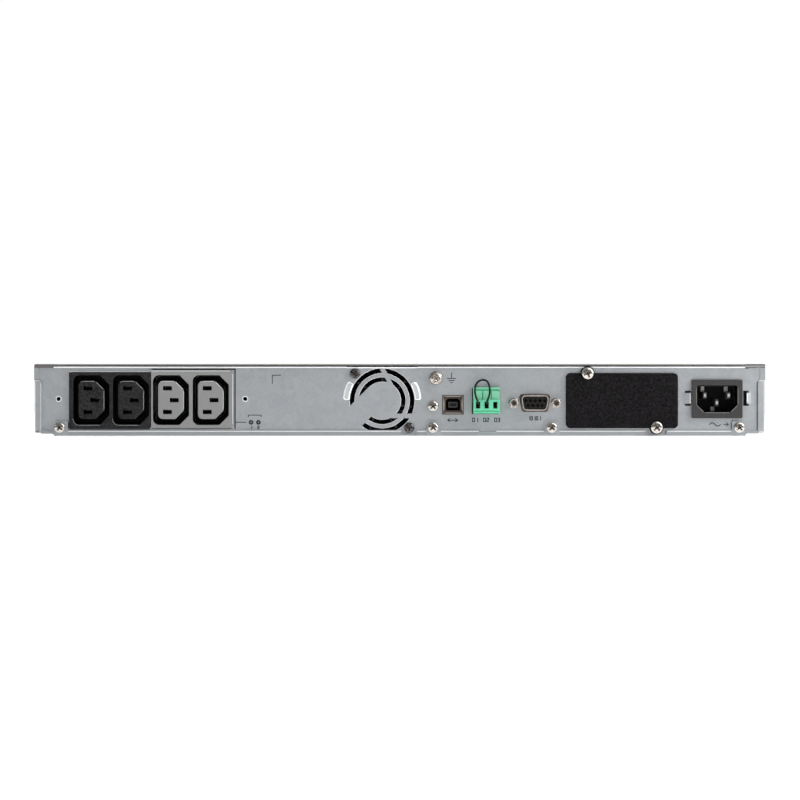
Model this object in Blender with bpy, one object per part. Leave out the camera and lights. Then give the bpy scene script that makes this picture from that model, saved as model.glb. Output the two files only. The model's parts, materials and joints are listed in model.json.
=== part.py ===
"""A rackmount power supply with battery backup, one rack unit high.

Lengths are in millimetres and become metres as each mesh is finished. +Z is up, the
connector panel faces -Y, the control front faces +Y, +X is to the right of somebody who
looks at the connector panel, and the origin is the middle of the underside.
"""

import math

import bmesh
import bpy
from mathutils import Matrix, Vector

MM = 0.001
GAP = 0.3  # clearance between pieces that would touch
REACH = 1.0  # how far a cutter runs past what it cuts

# Sheet-metal body
SHEET = 0.8
COVER_HALF = 216.0
COVER_TOP = 42.8
COVER_SKIRT = 33.2  # lower edge of the cover's sides
WALL_HALF = 215.6  # the base's side walls below the cover's skirt
WALL_INSET = 0.7  # how much they step in under the skirt
STEP_IN = 205.6  # the floor steps up outside this
STEP_UP = 2.1
WALL_TOP = 41.3
REAR = -182.0  # outside of the base's rear lip
FRONT = 158.0  # front edge of the sheet metal
LIP_TOP = 3.2
TAB_TOP = 9.2
LIP_STRETCHES = (  # start, end and height of each change along the rear lip's top edge
    (-205.0, -196.0, TAB_TOP),
    (-196.0, 1.2, LIP_TOP),
    (1.2, 10.0, SHEET),
    (10.0, 16.0, LIP_TOP),
    (16.0, 24.0, TAB_TOP),
    (24.0, 46.9, LIP_TOP),
    (46.9, 56.7, 2.4),
    (56.7, 85.5, LIP_TOP),
    (85.5, 94.0, TAB_TOP),
    (94.0, 145.6, LIP_TOP),
    (145.6, 157.6, SHEET),
    (157.6, 196.2, LIP_TOP),
    (196.2, 204.6, TAB_TOP),
)
SIDE_FLANGE_IN = 211.7  # the base's side walls turn in to here behind the panel's ends
SIDE_FLANGE_TOP = 33.1
UPPER_WALL_IN = 208.0  # above the side flanges the walls stop short of the panel
POST_RADIUS = 3.0
MAIN_POSTS = [(x, y) for x in (14, 198) for y in (-96, 142)]
COMM_POSTS = [(x, y) for x in (27, 92) for y in (-158, -118)]
SIDE_VENTS = 8
SIDE_VENT_FRONT = -10.0
SIDE_VENT_PITCH = 9.0
SIDE_VENT_WIDE = 3.0
SIDE_VENT_Z = (10, 28)
PANEL_FACE = -180.9  # outside of the rear panel
PANEL = 0.9
PANEL_INSIDE = PANEL_FACE + PANEL
PANEL_HALF = 213.6
PANEL_LOW = 1.3
PANEL_TOP = 41.6
FLANGE_DEEP = 13.0  # the rear panel's top flange
CORNER_TAB_IN = 204.5  # the cover's two rear corner tabs start here
CORNER_TAB_LOW = 40.5
LID_OVERHANG = 1.1  # how far the lid runs past the panel
PANEL_FLANGE_ENDS = (-204.0, 202.0)
PANEL_HOLES = ((-201.6, 22.2), (-91.3, 22.2))
PANEL_HOLE = 1.25
UPPER_WALL_START = PANEL_INSIDE + GAP

# Front mouldings
BEZEL_BACK = 158.6
BEZEL_FRONT = 182.0
BEZEL_HALF = 218.8
BEZEL_LOW = 0.4
BEZEL_TOP = 43.1
BEZEL_WALL = 2.0
BEZEL_SPLIT = 0.0  # the drawer's fascia meets the control bezel here

# Rack ears: 482.6 mm over both, holes 465.1 mm apart and 31.75 mm one above the other
EAR_TIP = 241.3
EAR_INSIDE = COVER_HALF + GAP
EAR_METAL = 1.7
EAR_BACK = 88.0
EAR_HOLE_X = 232.55
EAR_HOLE_PITCH = 31.75
EAR_SLOT = (10.4, 6.8)
MIDDLE_Z = 21.4
EAR_SCREWS_Y = (100.0, 138.0)
EAR_LEG_Z = (4.0, 39.0)
EAR_FACE_Z = (0.4, 42.4)

# Fasteners on the rear panel: (x, z) of each, and how far out their heads sit
TAB_SCREWS = ((-200.8, 5.3), (19.7, 5.3), (89.8, 5.3), (200.5, 5.3))
BOARD_SCREW = (19.7, 17.9)
SCREW_HEAD = 3.2
FAN_SCREW_HEAD = 3.1
SLOT_SCREW_HEAD = 3.65
SCREW_DOME = 0.62  # height of a head, as a share of its radius
SCREW_SHANK = 1.4
SCREW_HOLE = 1.8
CROSS_HALF = 0.45
EARTH = (21.4, 34.5)
EARTH_HEAD = 4.0
EARTH_SLOT = (4.4, 0.9)

# Outlets
OUTLET_Z = 21.5
OUTLET_BLOCKS = {
    "outlet_block_black": (-195.3, -147.15, 4.5, 38.0, (-182.1, -158.7)),
    "outlet_block_grey": (-146.85, -98.3, 5.0, 39.0, (-135.1, -111.6)),
}
OUTLET_OPENING = (-194.3, -99.3, 5.9, 37.0)
OUTLET_FACE = -182.5
OUTLET_WELL = (21.3, 29.4)
OUTLET_CORE = (15.2, 22.4)
OUTLET_WELL_DEEP = 16.0
OUTLET_SLOT = (5.2, 2.5)
OUTLET_SLOT_DEEP = 14.0
OUTLET_BLOCK_DEEP = 30.0
OUTLET_SLOT_PLACES = ((-2.1, 7.0), (-2.1, -7.0), (1.9, 0.0))
WELL_CORNERS = (3.7, 5.6)  # a plug outline's round radius and its cut corner
CORE_CORNERS = (2.8, 5.0)
CUT_CORNER_ROUND = 0.6
CORE_SET_BACK = 0.4

# Mains inlet
INLET = (187.4, 22.1)
INLET_FLANGE = (30.0, 22.8)
INLET_BODY = (27.4, 19.6)
INLET_CAVITY = (24.5, 16.1)
INLET_CUT_CORNER = 4.6
INLET_FACE = -183.3
INLET_CAVITY_DEEP = 16.0
INLET_BACK = -162.0
INLET_TABS = ((167.6, 171.9), (207.2, 204.9))  # x of the root and of the tip of each
INLET_TAB_OPENINGS = ((168.6, 172.0), (203.0, 206.2))
INLET_TAB_Z = (19.3, 25.8)
INLET_TAB_SLIT = 0.9
BLADE = (2.0, 4.0)
BLADE_SET_BACK = 2.0
BLADE_TAPER = 1.2
BLADE_TAIL = 6.0  # the pins start this far inside the inlet's back
INLET_BLADES = {
    "inlet_pin_line": (-7.0, 2.2),
    "inlet_pin_neutral": (7.0, 2.2),
    "inlet_pin_earth": (0.0, -2.2),
}

# Fan
FAN = (-10.4, 21.1)
FAN_SIDE = 40.0
FAN_DEEP = 20.0
FAN_BORE = 18.9
FAN_SCREW_OFF = 16.0
FAN_BACK = PANEL_INSIDE + GAP
FAN_HUB = 8.6
FAN_AXLE = 1.4
BLADE_TIP = 18.2
HUB_PLATE = 1.6
STRUT_HALF = 1.1
ROTOR_DEEP = 15.8
BLADE_THICK = 0.9
BLADE_LEANS = ((FAN_HUB - 0.8, 0.30), (13.0, 0.24), (BLADE_TIP, 0.20))  # radius and half twist
FAN_BLADES = 7
VENT_RINGS = ((11.3, 13.8), (16.5, 19.0))
VENT_FLAT = -17.3  # the slots stop at this height below the fan's axis
VENT_BARS = (  # straight bars across the slots, from the fan's axis
    [(-2.59, 21.0), (0.56, 21.0), (6.87, 9.0), (4.20, 9.0)],
    [(0.0, -10.35), (21.0, -10.35), (21.0, -7.63), (0.0, -7.63)],
    [(-7.97, 7.97), (-24.0, -8.05), (-24.0, -27.0), (1.5, -1.5)],
    [(-22.0, -22.0), (22.0, -22.0), (22.0, VENT_FLAT), (-22.0, VENT_FLAT)],
)

# Data and signal connectors
COMM_BOARD_TOP = 13.1
BOARD = 1.6
DATA = (31.3, 19.0)
DATA_SHELL = (12.4, 11.2)
DATA_INSERT = (8.6, 8.0)
DATA_TONGUE = (5.3, 3.2)
DATA_CUT_CORNER = 1.8
DATA_PROUD = 0.7
DATA_DEEP = 15.5
SHELL_METAL = 0.5
CUT_OUT_ROOM = 0.4  # between a socket and the edge of its opening in the panel
SERIAL = (79.8, 19.8)
SERIAL_OPENING = (19.0, 10.6)
SERIAL_SHELL = (16.6, 8.8)
SERIAL_FACE = -186.6
SERIAL_SLANT = 0.176  # tangent of the D shape's 10 degrees
SERIAL_PLATE = (30.8, 12.5)
CONTACT_PITCH = 2.77
CONTACT_ROW = 1.42  # height of each row of contacts from the middle
CONTACT_RADIUS = 0.6
CONTACT_DEEP = 5.0
JACK_PITCH = 25.0
JACK_NUT = 2.75
JACK_NUT_TALL = 4.6
JACK_BORE = 1.3
SIGNAL = (43.3, 58.8)  # sides of the signal plug
SIGNAL_ENTRY_X = (46.0, 51.08, 56.16)
SIGNAL_ENTRY = (2.5, 3.9)
SIGNAL_ENTRY_Z = 18.5
SIGNAL_RIBS_X = (48.8, 53.9)  # slits between the three screw blocks
SIGNAL_FACE = -190.4
SIGNAL_STEP_FACE = -186.4
SIGNAL_STEP_Z = 21.6
SIGNAL_LOW = 13.6
SIGNAL_TOP = 29.0
SIGNAL_SEAT = -183.4  # outer edge of the header that the plug sits in
SIGNAL_BACK = SIGNAL_SEAT + 1.4
SIGNAL_WALL = 0.6
SIGNAL_OPENING_ROOM = 0.7
SIGNAL_GROOVE_Z = (14.6, 15.3)
SIGNAL_RIB_TOP = 27.0
GROOVE_DEEP = 0.6
SLIT_HALF = 0.3
WIRE_RADIUS = 0.6
WIRE_STEP = 2.0

# Cover of the empty card slot
SLOT_COVER = (98.2, 164.3, 4.9, 37.4)
SLOT_COVER_FACE = -183.5
SLOT_OPENING = (104.0, 158.5, 9.5, 33.0)
SLOT_SCREWS = ((110.9, 37.2), (151.6, 5.4))
SLOT_EAR = 4.2
SLOT_HOLLOW_EDGE = (7.0, 9.0)  # solid edge round the hollow on the cover's back

# Transformer
CORE = (-205.0, -105.0, -150.0, -66.0)
CORE_STACK = (8.0, 32.0)
LEG_HALF = 17.0
WINDOW_HALF = (16.0, 50.0)
WINDING_Z = (2.2, 37.6)
WINDING_GAP = 0.6
WINDING_ROUND = 4.0

# Circuit boards
MAIN_BOARD = (6.0, 206.0, -104.0, 150.0)
MAIN_BOARD_LOW = 4.4
COMM_BOARD = (22.5, 97.0, -179.0, -112.0)
SERIAL_ROOM = (64.0, 96.0, 14.0)  # notch in the board behind the D socket: sides and depth
HEATSINK_FOOT = (120, 190)
HEATSINK_Y = (-80, 40)
HEATSINK_TOP = 36.0
HEATSINK_PITCH = 8
FIN = 1.6
CAPACITOR = (60, -46)
CAPACITOR_SIZE = (11.0, 27.8)
CHOKE = (62, 30)
CHOKE_RADII = (9.0, 20.0)
CHOKE_TALL = 15.0
CHOKE_ROUND = 1.5

# Battery drawer
DRAWER_LOW = 1.2
DRAWER_SHEET = 0.8
DRAWER = (-202.6, -4.6, -4.0, 158.0)
DRAWER_WALL_TOP = 30.0
BATTERY = (94.0, 151.0, 34.0)
DRAWER_OPENING = (-204.2, -3.0, 40.2)
PLATE_WINDOW = (30, 190, 9, 34)  # opening behind the control board
PLATE_STEP = (10.0, 4.0)  # the plate's lower corners step in and up by this
DRAWER_FRONT_TOP = 38.0
BATTERY_POSTS = {"battery_left": (24, 48), "battery_right": (104, 128)}
BATTERY_POST_HALF = 3.1
BATTERY_POST_Z = 24.0
PLUG_X = (-70, -50)
PLUG_Z = (10, 22)
PLUG_FLARE = (5, 3)  # how much wider and taller the plug's collar is on each side
SOCKET_X = (-76, -44)
SOCKET_Z = (5, 27)
SOCKET_FOOT_X = (-80, -40)
PLUG_ROOM = 0.6
AIR_SLOT = (13.0, 4.0)
AIR_SLOT_PITCH = 17.2
AIR_SLOT_ROWS = (15, 23.5, 32)
FASCIA_SLOTS = 11
FASCIA_SLOT_START = -204.0
GRIP_X = (-141, -81)
GRIP_TOP = 9.0

# Controls
WINDOW = (58.0, 122.0, 10.4, 32.4)
KEYS_X = (136.0, 149.0, 162.0, 175.0)
KEY_NAMES = ("key_escape", "key_down", "key_up", "key_enter")
KEY_Z = 16.0
KEY = (8.6, 5.4)
POWER = (197.0, 21.6)
POWER_RADIUS = 6.2
POWER_PROUD = 0.7
KEY_PROUD = 0.6
CAP_BACK = 167.5
CONTROL_BOARD_Y = 163.0
CONTROL_BOARD = (44, 210, 4, 38)
MODULE_FRONT = 176.0
MODULE_EDGE = 2.0
PANE_BACK = 177.0

# Colour, roughness and metallic value of each finish
FINISHES = {
    "galvanised_steel": ((0.48, 0.50, 0.53), 0.38, 0.9),
    "cover_steel": ((0.10, 0.10, 0.105), 0.5, 0.6),
    "black_powder_coat": ((0.012, 0.012, 0.013), 0.6, 0.0),
    "black_plastic": ((0.018, 0.018, 0.02), 0.45, 0.0),
    "grey_plastic": ((0.30, 0.31, 0.32), 0.45, 0.0),
    "green_plastic": ((0.10, 0.62, 0.28), 0.4, 0.0),
    "nickel_plated": ((0.72, 0.72, 0.70), 0.22, 1.0),
    "tin_plated": ((0.75, 0.75, 0.76), 0.3, 1.0),
    "bright_aluminium": ((0.70, 0.71, 0.72), 0.35, 1.0),
    "circuit_board": ((0.02, 0.13, 0.05), 0.5, 0.0),
    "lamination_steel": ((0.12, 0.11, 0.11), 0.5, 0.8),
    "copper_winding": ((0.55, 0.20, 0.07), 0.35, 0.9),
    "battery_case": ((0.04, 0.04, 0.045), 0.5, 0.0),
    "clear_window": ((0.03, 0.05, 0.07), 0.08, 0.0),
    "display_glass": ((0.10, 0.16, 0.14), 0.2, 0.0),
    "button_plastic": ((0.20, 0.20, 0.21), 0.4, 0.0),
    "wire_sleeve": ((0.015, 0.015, 0.015), 0.5, 0.0),
}

# Outlines are lists of (u, v). AXES turns (u, v, along) into (x, y, z).
AXES = {
    "X": Matrix(((0, 0, 1, 0), (1, 0, 0, 0), (0, 1, 0, 0), (0, 0, 0, 1))),
    "Y": Matrix(((1, 0, 0, 0), (0, 0, 1, 0), (0, 1, 0, 0), (0, 0, 0, 1))),
    "Z": Matrix.Identity(4),
}


# ---------------------------------------------------------------- outlines


def rectangle(left, right, low, high):
    return [(left, low), (right, low), (right, high), (left, high)]


def centred(centre, size):
    """The corners of a box of this size around a centre."""
    (u, v), (wide, tall) = centre, size
    return rectangle(u - wide / 2, u + wide / 2, v - tall / 2, v + tall / 2)


def circle(centre, radius, sides=16, turn=0.0):
    u, v = centre
    angles = [turn + 2 * math.pi * i / sides for i in range(sides)]
    return [(u + radius * math.cos(a), v + radius * math.sin(a)) for a in angles]


def rounded(corners, radii, steps=3):
    """A convex outline with each corner rounded; a radius of 0 keeps it sharp."""
    points = []
    for i, corner in enumerate(corners):
        here = Vector(corner)
        before = (Vector(corners[i - 1]) - here).normalized()
        after = (Vector(corners[(i + 1) % len(corners)]) - here).normalized()
        radius = radii[i] if isinstance(radii, (list, tuple)) else radii
        if not radius:
            points.append(tuple(here))
            continue
        half = before.angle(after) / 2
        middle = here + (before + after).normalized() * radius / math.sin(half)
        start = here + before * radius / math.tan(half) - middle
        end = here + after * radius / math.tan(half) - middle
        sweep = start.angle_signed(end)
        for step in range(steps + 1):
            turn = Matrix.Rotation(-sweep * step / steps, 2)
            points.append(tuple(middle + turn @ start))
    return points


def plug_outline(centre, size, radius, cut):
    """A mains plug's outline: two round corners on the left, two cut ones on the right."""
    (u, v), (wide, tall) = centre, size
    left, right = u - wide / 2, u + wide / 2
    low, high = v - tall / 2, v + tall / 2
    corners = [
        (left, low),
        (right - cut, low),
        (right, low + cut),
        (right, high - cut),
        (right - cut, high),
        (left, high),
    ]
    return rounded(corners, (radius, *4 * (CUT_CORNER_ROUND,), radius))


def d_outline(centre, size, radius=1.8):
    """A D-shaped connector's outline, wider at the top."""
    (u, v), (wide, tall) = centre, size
    lean = tall * SERIAL_SLANT / 2
    corners = [
        (u - wide / 2 + 2 * lean, v - tall / 2),
        (u + wide / 2 - 2 * lean, v - tall / 2),
        (u + wide / 2, v + tall / 2),
        (u - wide / 2, v + tall / 2),
    ]
    return rounded(corners, radius)


# ---------------------------------------------------------------- solids


def prism(outline, low, high, axis="Y", holes=()):
    """An outline with holes, drawn out from low to high along an axis."""
    bm = bmesh.new()
    for loop in (outline, *holes):
        ring = [bm.verts.new((u, v, low)) for u, v in loop]
        for a, b in zip(ring, ring[1:] + ring[:1]):
            bm.edges.new((a, b))
    if holes:
        bmesh.ops.triangle_fill(bm, use_beauty=True, edges=bm.edges[:])
    else:
        bm.faces.new(ring)
    grown = bmesh.ops.extrude_face_region(bm, geom=bm.faces[:])["geom"]
    top = [v for v in grown if isinstance(v, bmesh.types.BMVert)]
    bmesh.ops.translate(bm, vec=(0, 0, high - low), verts=top)
    return finished(bm, AXES[axis])


def finished(bm, matrix=None):
    """The bmesh as a mesh with its faces pointing out."""
    if matrix is not None:
        bm.transform(matrix)
    bmesh.ops.recalc_face_normals(bm, faces=bm.faces[:])
    if bm.calc_volume(signed=True) < 0:
        bmesh.ops.reverse_faces(bm, faces=bm.faces[:])
    mesh = bpy.data.meshes.new("shape")
    bm.to_mesh(mesh)
    bm.free()
    return mesh


def block(x, y, z):
    """A box from three (low, high) pairs."""
    return prism(rectangle(*x, *y), *z, axis="Z")


def rod(centre, radius, low, high, axis="Y", sides=16):
    return prism(circle(centre, radius, sides), low, high, axis)


def turned(profile, centre, low, axis="Y", sides=12):
    """A profile of (radius, height) spun about an axis through centre."""
    bm = bmesh.new()
    line = [bm.verts.new((radius, 0, low + height)) for radius, height in profile]
    for a, b in zip(line, line[1:]):
        bm.edges.new((a, b))
    bmesh.ops.spin(
        bm,
        geom=bm.verts[:] + bm.edges[:],
        cent=(0, 0, 0),
        axis=(0, 0, 1),
        angle=2 * math.pi,
        steps=sides,
        use_merge=True,
    )
    bmesh.ops.remove_doubles(bm, verts=bm.verts[:], dist=1e-4)
    bmesh.ops.translate(bm, vec=(*centre, 0), verts=bm.verts[:])
    return finished(bm, AXES[axis])


def combined(mesh, others, operation):
    """One mesh joined with the others, or cut by them."""
    scene = bpy.context.scene.collection
    tools = bpy.data.collections.new("tools")
    scene.children.link(tools)
    body = bpy.data.objects.new("body", mesh)
    scene.objects.link(body)
    for other in others:
        tools.objects.link(bpy.data.objects.new("tool", other))
    boolean = body.modifiers.new("Boolean", "BOOLEAN")
    boolean.operation = operation
    boolean.operand_type = "COLLECTION"
    boolean.collection = tools
    graph = bpy.context.evaluated_depsgraph_get()
    result = bpy.data.meshes.new_from_object(body.evaluated_get(graph))
    for helper in [body, *tools.objects]:
        bpy.data.objects.remove(helper)
    bpy.data.collections.remove(tools)
    return result


def joined(mesh, *others):
    return combined(mesh, others, "UNION")


def cut(mesh, *others):
    return combined(mesh, others, "DIFFERENCE")


def mirrored(mesh):
    """The same shape on the other side of the body."""
    bm = bmesh.new()
    bm.from_mesh(mesh)
    return finished(bm, Matrix.Scale(-1, 4, (1, 0, 0)))


# ---------------------------------------------------------------- scene


def clear_scene():
    for thing in list(bpy.data.objects):
        bpy.data.objects.remove(thing)


def finish_of(name):
    """The material of a finish, made once."""
    material = bpy.data.materials.get(name)
    if material:
        return material
    colour, roughness, metallic = FINISHES[name]
    material = bpy.data.materials.new(name)
    material.use_nodes = True
    shader = material.node_tree.nodes["Principled BSDF"]
    shader.inputs["Base Color"].default_value = (*colour, 1)
    shader.inputs["Roughness"].default_value = roughness
    shader.inputs["Metallic"].default_value = metallic
    material.diffuse_color = (*colour, 1)
    return material


def node(name, mesh, finish, parent=None):
    """Puts a sub-part into the scene, in metres, on its parent if it has one."""
    mesh.transform(Matrix.Scale(MM, 4))
    mesh.name = name
    mesh.shade_smooth()
    mesh.set_sharp_from_angle(angle=math.radians(32))
    mesh.materials.clear()
    mesh.materials.append(finish_of(finish))
    thing = bpy.data.objects.new(name, mesh)
    bpy.context.scene.collection.objects.link(thing)
    if parent:
        mesh.transform(Matrix.Translation(-parent.location))
        thing.parent = parent
    return thing


def pivot(name, x, y, z):
    """An empty that marks a moving group's reference point on its joint's axis."""
    empty = bpy.data.objects.new(name, None)
    empty.location = Vector((x, y, z)) * MM
    empty.empty_display_size = 0.02
    bpy.context.scene.collection.objects.link(empty)
    return empty


# ---------------------------------------------------------------- sheet metal


def make_base_pan():
    """The floor and side walls, with the rear lip, its four screw tabs and the side flanges."""
    inner_wall = WALL_HALF - SHEET
    slope = SHEET * math.tan(math.radians(45 / 2))  # inside of the floor's 45-degree step
    half = [
        (STEP_IN - STEP_UP, 0),
        (STEP_IN, STEP_UP),
        (WALL_HALF, STEP_UP),
        (WALL_HALF, COVER_SKIRT - 1.0),
        (WALL_HALF - WALL_INSET, COVER_SKIRT - 0.3),
        (WALL_HALF - WALL_INSET, WALL_TOP),
        (inner_wall - WALL_INSET, WALL_TOP),
        (inner_wall - WALL_INSET, COVER_SKIRT - 0.6),
        (inner_wall, COVER_SKIRT - 1.3),
        (inner_wall, STEP_UP + SHEET),
        (STEP_IN - slope, STEP_UP + SHEET),
        (STEP_IN - STEP_UP - slope, SHEET),
    ]
    profile = half + [(-u, v) for u, v in reversed(half)]
    pan = prism(profile, REAR, FRONT)
    corner = block(
        (UPPER_WALL_IN, WALL_HALF + REACH),
        (REAR - REACH, UPPER_WALL_START),
        (SIDE_FLANGE_TOP, WALL_TOP + REACH),
    )
    corners = [corner, mirrored(corner)]
    lip = prism(lip_outline(), REAR, REAR + SHEET, holes=tab_holes())
    flange = rectangle(SIDE_FLANGE_IN, WALL_HALF - 0.1, STEP_UP + 0.4, SIDE_FLANGE_TOP)
    flange = rounded(flange, (0, 0, 0, 1.2))
    flanges = [prism(flange, REAR, REAR + SHEET)]
    flanges.append(mirrored(flanges[0]))
    pan = joined(cut(pan, *corners), lip, *flanges, *base_posts())
    return cut(pan, *side_vents(), *ear_screw_holes())


def lip_outline():
    top = []
    for start, end, height in LIP_STRETCHES:
        top += [(start, height), (end, height)]
    side = STEP_IN - STEP_UP
    return [(-side, 0.0), (side, 0.0), *reversed(top)]


def tab_holes():
    return [circle(place, SCREW_HOLE, 10) for place in TAB_SCREWS]


def base_posts():
    """Pressed-in posts that carry the two circuit boards."""
    main = [(place, MAIN_BOARD_LOW - GAP) for place in MAIN_POSTS]
    comm = [(place, COMM_BOARD_TOP - BOARD - GAP) for place in COMM_POSTS]
    return [rod(place, POST_RADIUS, SHEET / 2, top, "Z", 8) for place, top in main + comm]


def side_vents():
    """A row of cooling slots in each side wall."""
    slots = []
    for side in (-1, 1):
        x = sorted((side * (WALL_HALF - 3), side * (WALL_HALF + 3)))
        for i in range(SIDE_VENTS):
            y = SIDE_VENT_FRONT - SIDE_VENT_PITCH * i
            half = SIDE_VENT_WIDE / 2
            slots.append(block(x, (y - half, y + half), SIDE_VENT_Z))
    return slots


def ear_screw_holes():
    far = EAR_INSIDE + EAR_METAL + REACH
    return [rod((y, MIDDLE_Z), SCREW_HOLE, -far, far, "X", 10) for y in EAR_SCREWS_Y]


def make_top_cover():
    """The lid, with its folded sides and a small tab down each rear corner."""
    inner = COVER_HALF - SHEET
    profile = [
        (-COVER_HALF, COVER_SKIRT),
        (-inner, COVER_SKIRT),
        (-inner, COVER_TOP - SHEET),
        (inner, COVER_TOP - SHEET),
        (inner, COVER_SKIRT),
        (COVER_HALF, COVER_SKIRT),
        (COVER_HALF, COVER_TOP),
        (-COVER_HALF, COVER_TOP),
    ]
    lid = prism(profile, PANEL_FACE - LID_OVERHANG, FRONT)
    tab = block(
        (CORNER_TAB_IN, COVER_HALF - 0.2),
        (PANEL_FACE - LID_OVERHANG, PANEL_FACE - GAP),
        (CORNER_TAB_LOW, COVER_TOP - SHEET / 2),
    )
    return joined(lid, tab, mirrored(tab))


def make_rear_panel():
    """The connector panel with its openings, top flange and the two bent tabs beside the inlet."""
    slope = PANEL_LOW + STEP_UP
    outline = [
        (-PANEL_HALF, slope),
        (STEP_UP - STEP_IN, slope),
        (2 * STEP_UP - STEP_IN, PANEL_LOW),
        (STEP_IN - 2 * STEP_UP, PANEL_LOW),
        (STEP_IN - STEP_UP, slope),
        (PANEL_HALF, slope),
        (PANEL_HALF, PANEL_TOP),
        (-PANEL_HALF, PANEL_TOP),
    ]
    sheet = prism(outline, PANEL_FACE, PANEL_INSIDE, holes=panel_openings())
    flange = (PANEL_FACE + PANEL / 2, PANEL_FACE + FLANGE_DEEP)
    level = (PANEL_TOP - SHEET, PANEL_TOP)
    fan_left, fan_right = FAN[0] - FAN_SIDE / 2 - 1, FAN[0] + FAN_SIDE / 2 + 1
    flanges = [
        block((PANEL_FLANGE_ENDS[0], fan_left), flange, level),
        block((fan_right, PANEL_FLANGE_ENDS[1]), flange, level),
    ]
    notch = block((fan_left, fan_right), (PANEL_FACE - REACH, 0), (PANEL_TOP - 0.3, 50))
    tabs = [inlet_tab(root, tip) for root, tip in INLET_TABS]
    panel = joined(sheet, *flanges, *tabs)
    return cut(panel, notch, *vent_slots())


def panel_openings():
    holes = [circle(place, SCREW_HOLE, 10) for place in TAB_SCREWS + SLOT_SCREWS]
    holes += [circle(place, SCREW_HOLE, 10) for place in (BOARD_SCREW, EARTH)]
    holes += [circle(place, SCREW_HOLE, 10) for place in fan_screw_places()]
    holes += [circle(place, PANEL_HOLE, 10) for place in PANEL_HOLES]
    holes += [circle(place, SCREW_HOLE, 10) for place in jack_places()]
    holes.append(rectangle(*OUTLET_OPENING))
    for place, (wide, tall) in ((INLET, INLET_BODY), (DATA, DATA_SHELL)):
        holes.append(centred(place, (wide + 2 * CUT_OUT_ROOM, tall + 2 * CUT_OUT_ROOM)))
    holes.append(d_outline(SERIAL, SERIAL_OPENING))
    room = SIGNAL_OPENING_ROOM
    left, right = SIGNAL[0] - room, SIGNAL[1] + room
    holes.append(rectangle(left, right, SIGNAL_LOW - room, SIGNAL_TOP + room))
    holes.append(rectangle(*SLOT_OPENING))
    low, high = INLET_TAB_Z[0] - INLET_TAB_SLIT, INLET_TAB_Z[1] + INLET_TAB_SLIT
    holes += [rectangle(left, right, low, high) for left, right in INLET_TAB_OPENINGS]
    return holes


def inlet_tab(root, tip):
    """A tab cut free on three sides and bent out towards the inlet, for the clip of a lead."""
    side = 1 if tip > root else -1
    inside = PANEL_FACE + 0.6
    shape = [
        (root - 0.6 * side, PANEL_FACE + 0.1),
        (tip, PANEL_FACE - 1.4),
        (tip, PANEL_FACE - 0.8),
        (root + 0.4 * side, inside),
        (root - 0.6 * side, inside),
    ]
    return prism(shape, *INLET_TAB_Z, "Z")


def fan_screw_places():
    off = FAN_SCREW_OFF
    return ((FAN[0] - off, FAN[1] + off), (FAN[0] + off, FAN[1] - off))


def vent_slots():
    """Two rings of the fan's grille, cut by its three straight bars."""
    y = (PANEL_FACE - REACH, PANEL_INSIDE + REACH)
    placed = [[(FAN[0] + u, FAN[1] + v) for u, v in bar] for bar in VENT_BARS]
    solid = [prism(bar, y[0] - REACH, y[1] + REACH) for bar in placed]
    slots = []
    for inner, outer in VENT_RINGS:
        ring = prism(circle(FAN, outer, 40), *y, holes=[circle(FAN, inner, 40)])
        slots.append(cut(ring, *[bar.copy() for bar in solid]))
    return slots


def make_front_plate():
    """The upright sheet behind the bezel, open where the battery drawer passes."""
    left, right, top = DRAWER_OPENING
    outline = [
        (right, PANEL_LOW),
        (PANEL_HALF - PLATE_STEP[0], PANEL_LOW),
        (PANEL_HALF - PLATE_STEP[0], PLATE_STEP[1]),
        (PANEL_HALF, PLATE_STEP[1]),
        (PANEL_HALF, PANEL_TOP),
        (-PANEL_HALF, PANEL_TOP),
        (-PANEL_HALF, PLATE_STEP[1]),
        (left, PLATE_STEP[1]),
        (left, top),
        (right, top),
    ]
    window = rounded(rectangle(*PLATE_WINDOW), 2)
    return prism(outline, FRONT - SHEET, FRONT, holes=[window])


def make_rack_ear():
    """The right-hand ear: a leg along the body's side and a flange with two slots."""
    leg = block((EAR_INSIDE, EAR_INSIDE + EAR_METAL), (EAR_BACK, FRONT), EAR_LEG_Z)
    slots = [
        rounded(centred((EAR_HOLE_X, MIDDLE_Z + step * EAR_HOLE_PITCH / 2), EAR_SLOT), 3.3)
        for step in (-1, 1)
    ]
    face = rounded(rectangle(EAR_INSIDE, EAR_TIP, *EAR_FACE_Z), (0, 2, 2, 0))
    flange = prism(face, FRONT - EAR_METAL, FRONT, holes=slots)
    ear = joined(leg, flange)
    return cut(ear, *ear_screw_holes())


# ---------------------------------------------------------------- fasteners


def screw(place, seat, head=SCREW_HEAD, deep=7.0, axis="Y", direction=1, sides=12):
    """A domed cross-head screw whose head rests on the plane at seat."""
    tall = head * SCREW_DOME
    profile = [
        (0, -tall),
        (head * 0.62, -tall * 0.9),
        (head * 0.93, -tall * 0.45),
        (head, 0),
        (SCREW_SHANK, 0),
        (SCREW_SHANK, deep),
        (0, deep),
    ]
    profile = [(radius, height * direction) for radius, height in profile]
    body = turned(profile, place, seat, axis, sides)
    arm, half = head * 0.5, CROSS_HALF
    span = sorted((seat - tall * 1.5 * direction, seat - tall * 0.35 * direction))
    arms = [
        prism(centred(place, size), *span, axis)
        for size in ((2 * arm, 2 * half), (2 * half, 2 * arm))
    ]
    return cut(body, *arms)


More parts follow.
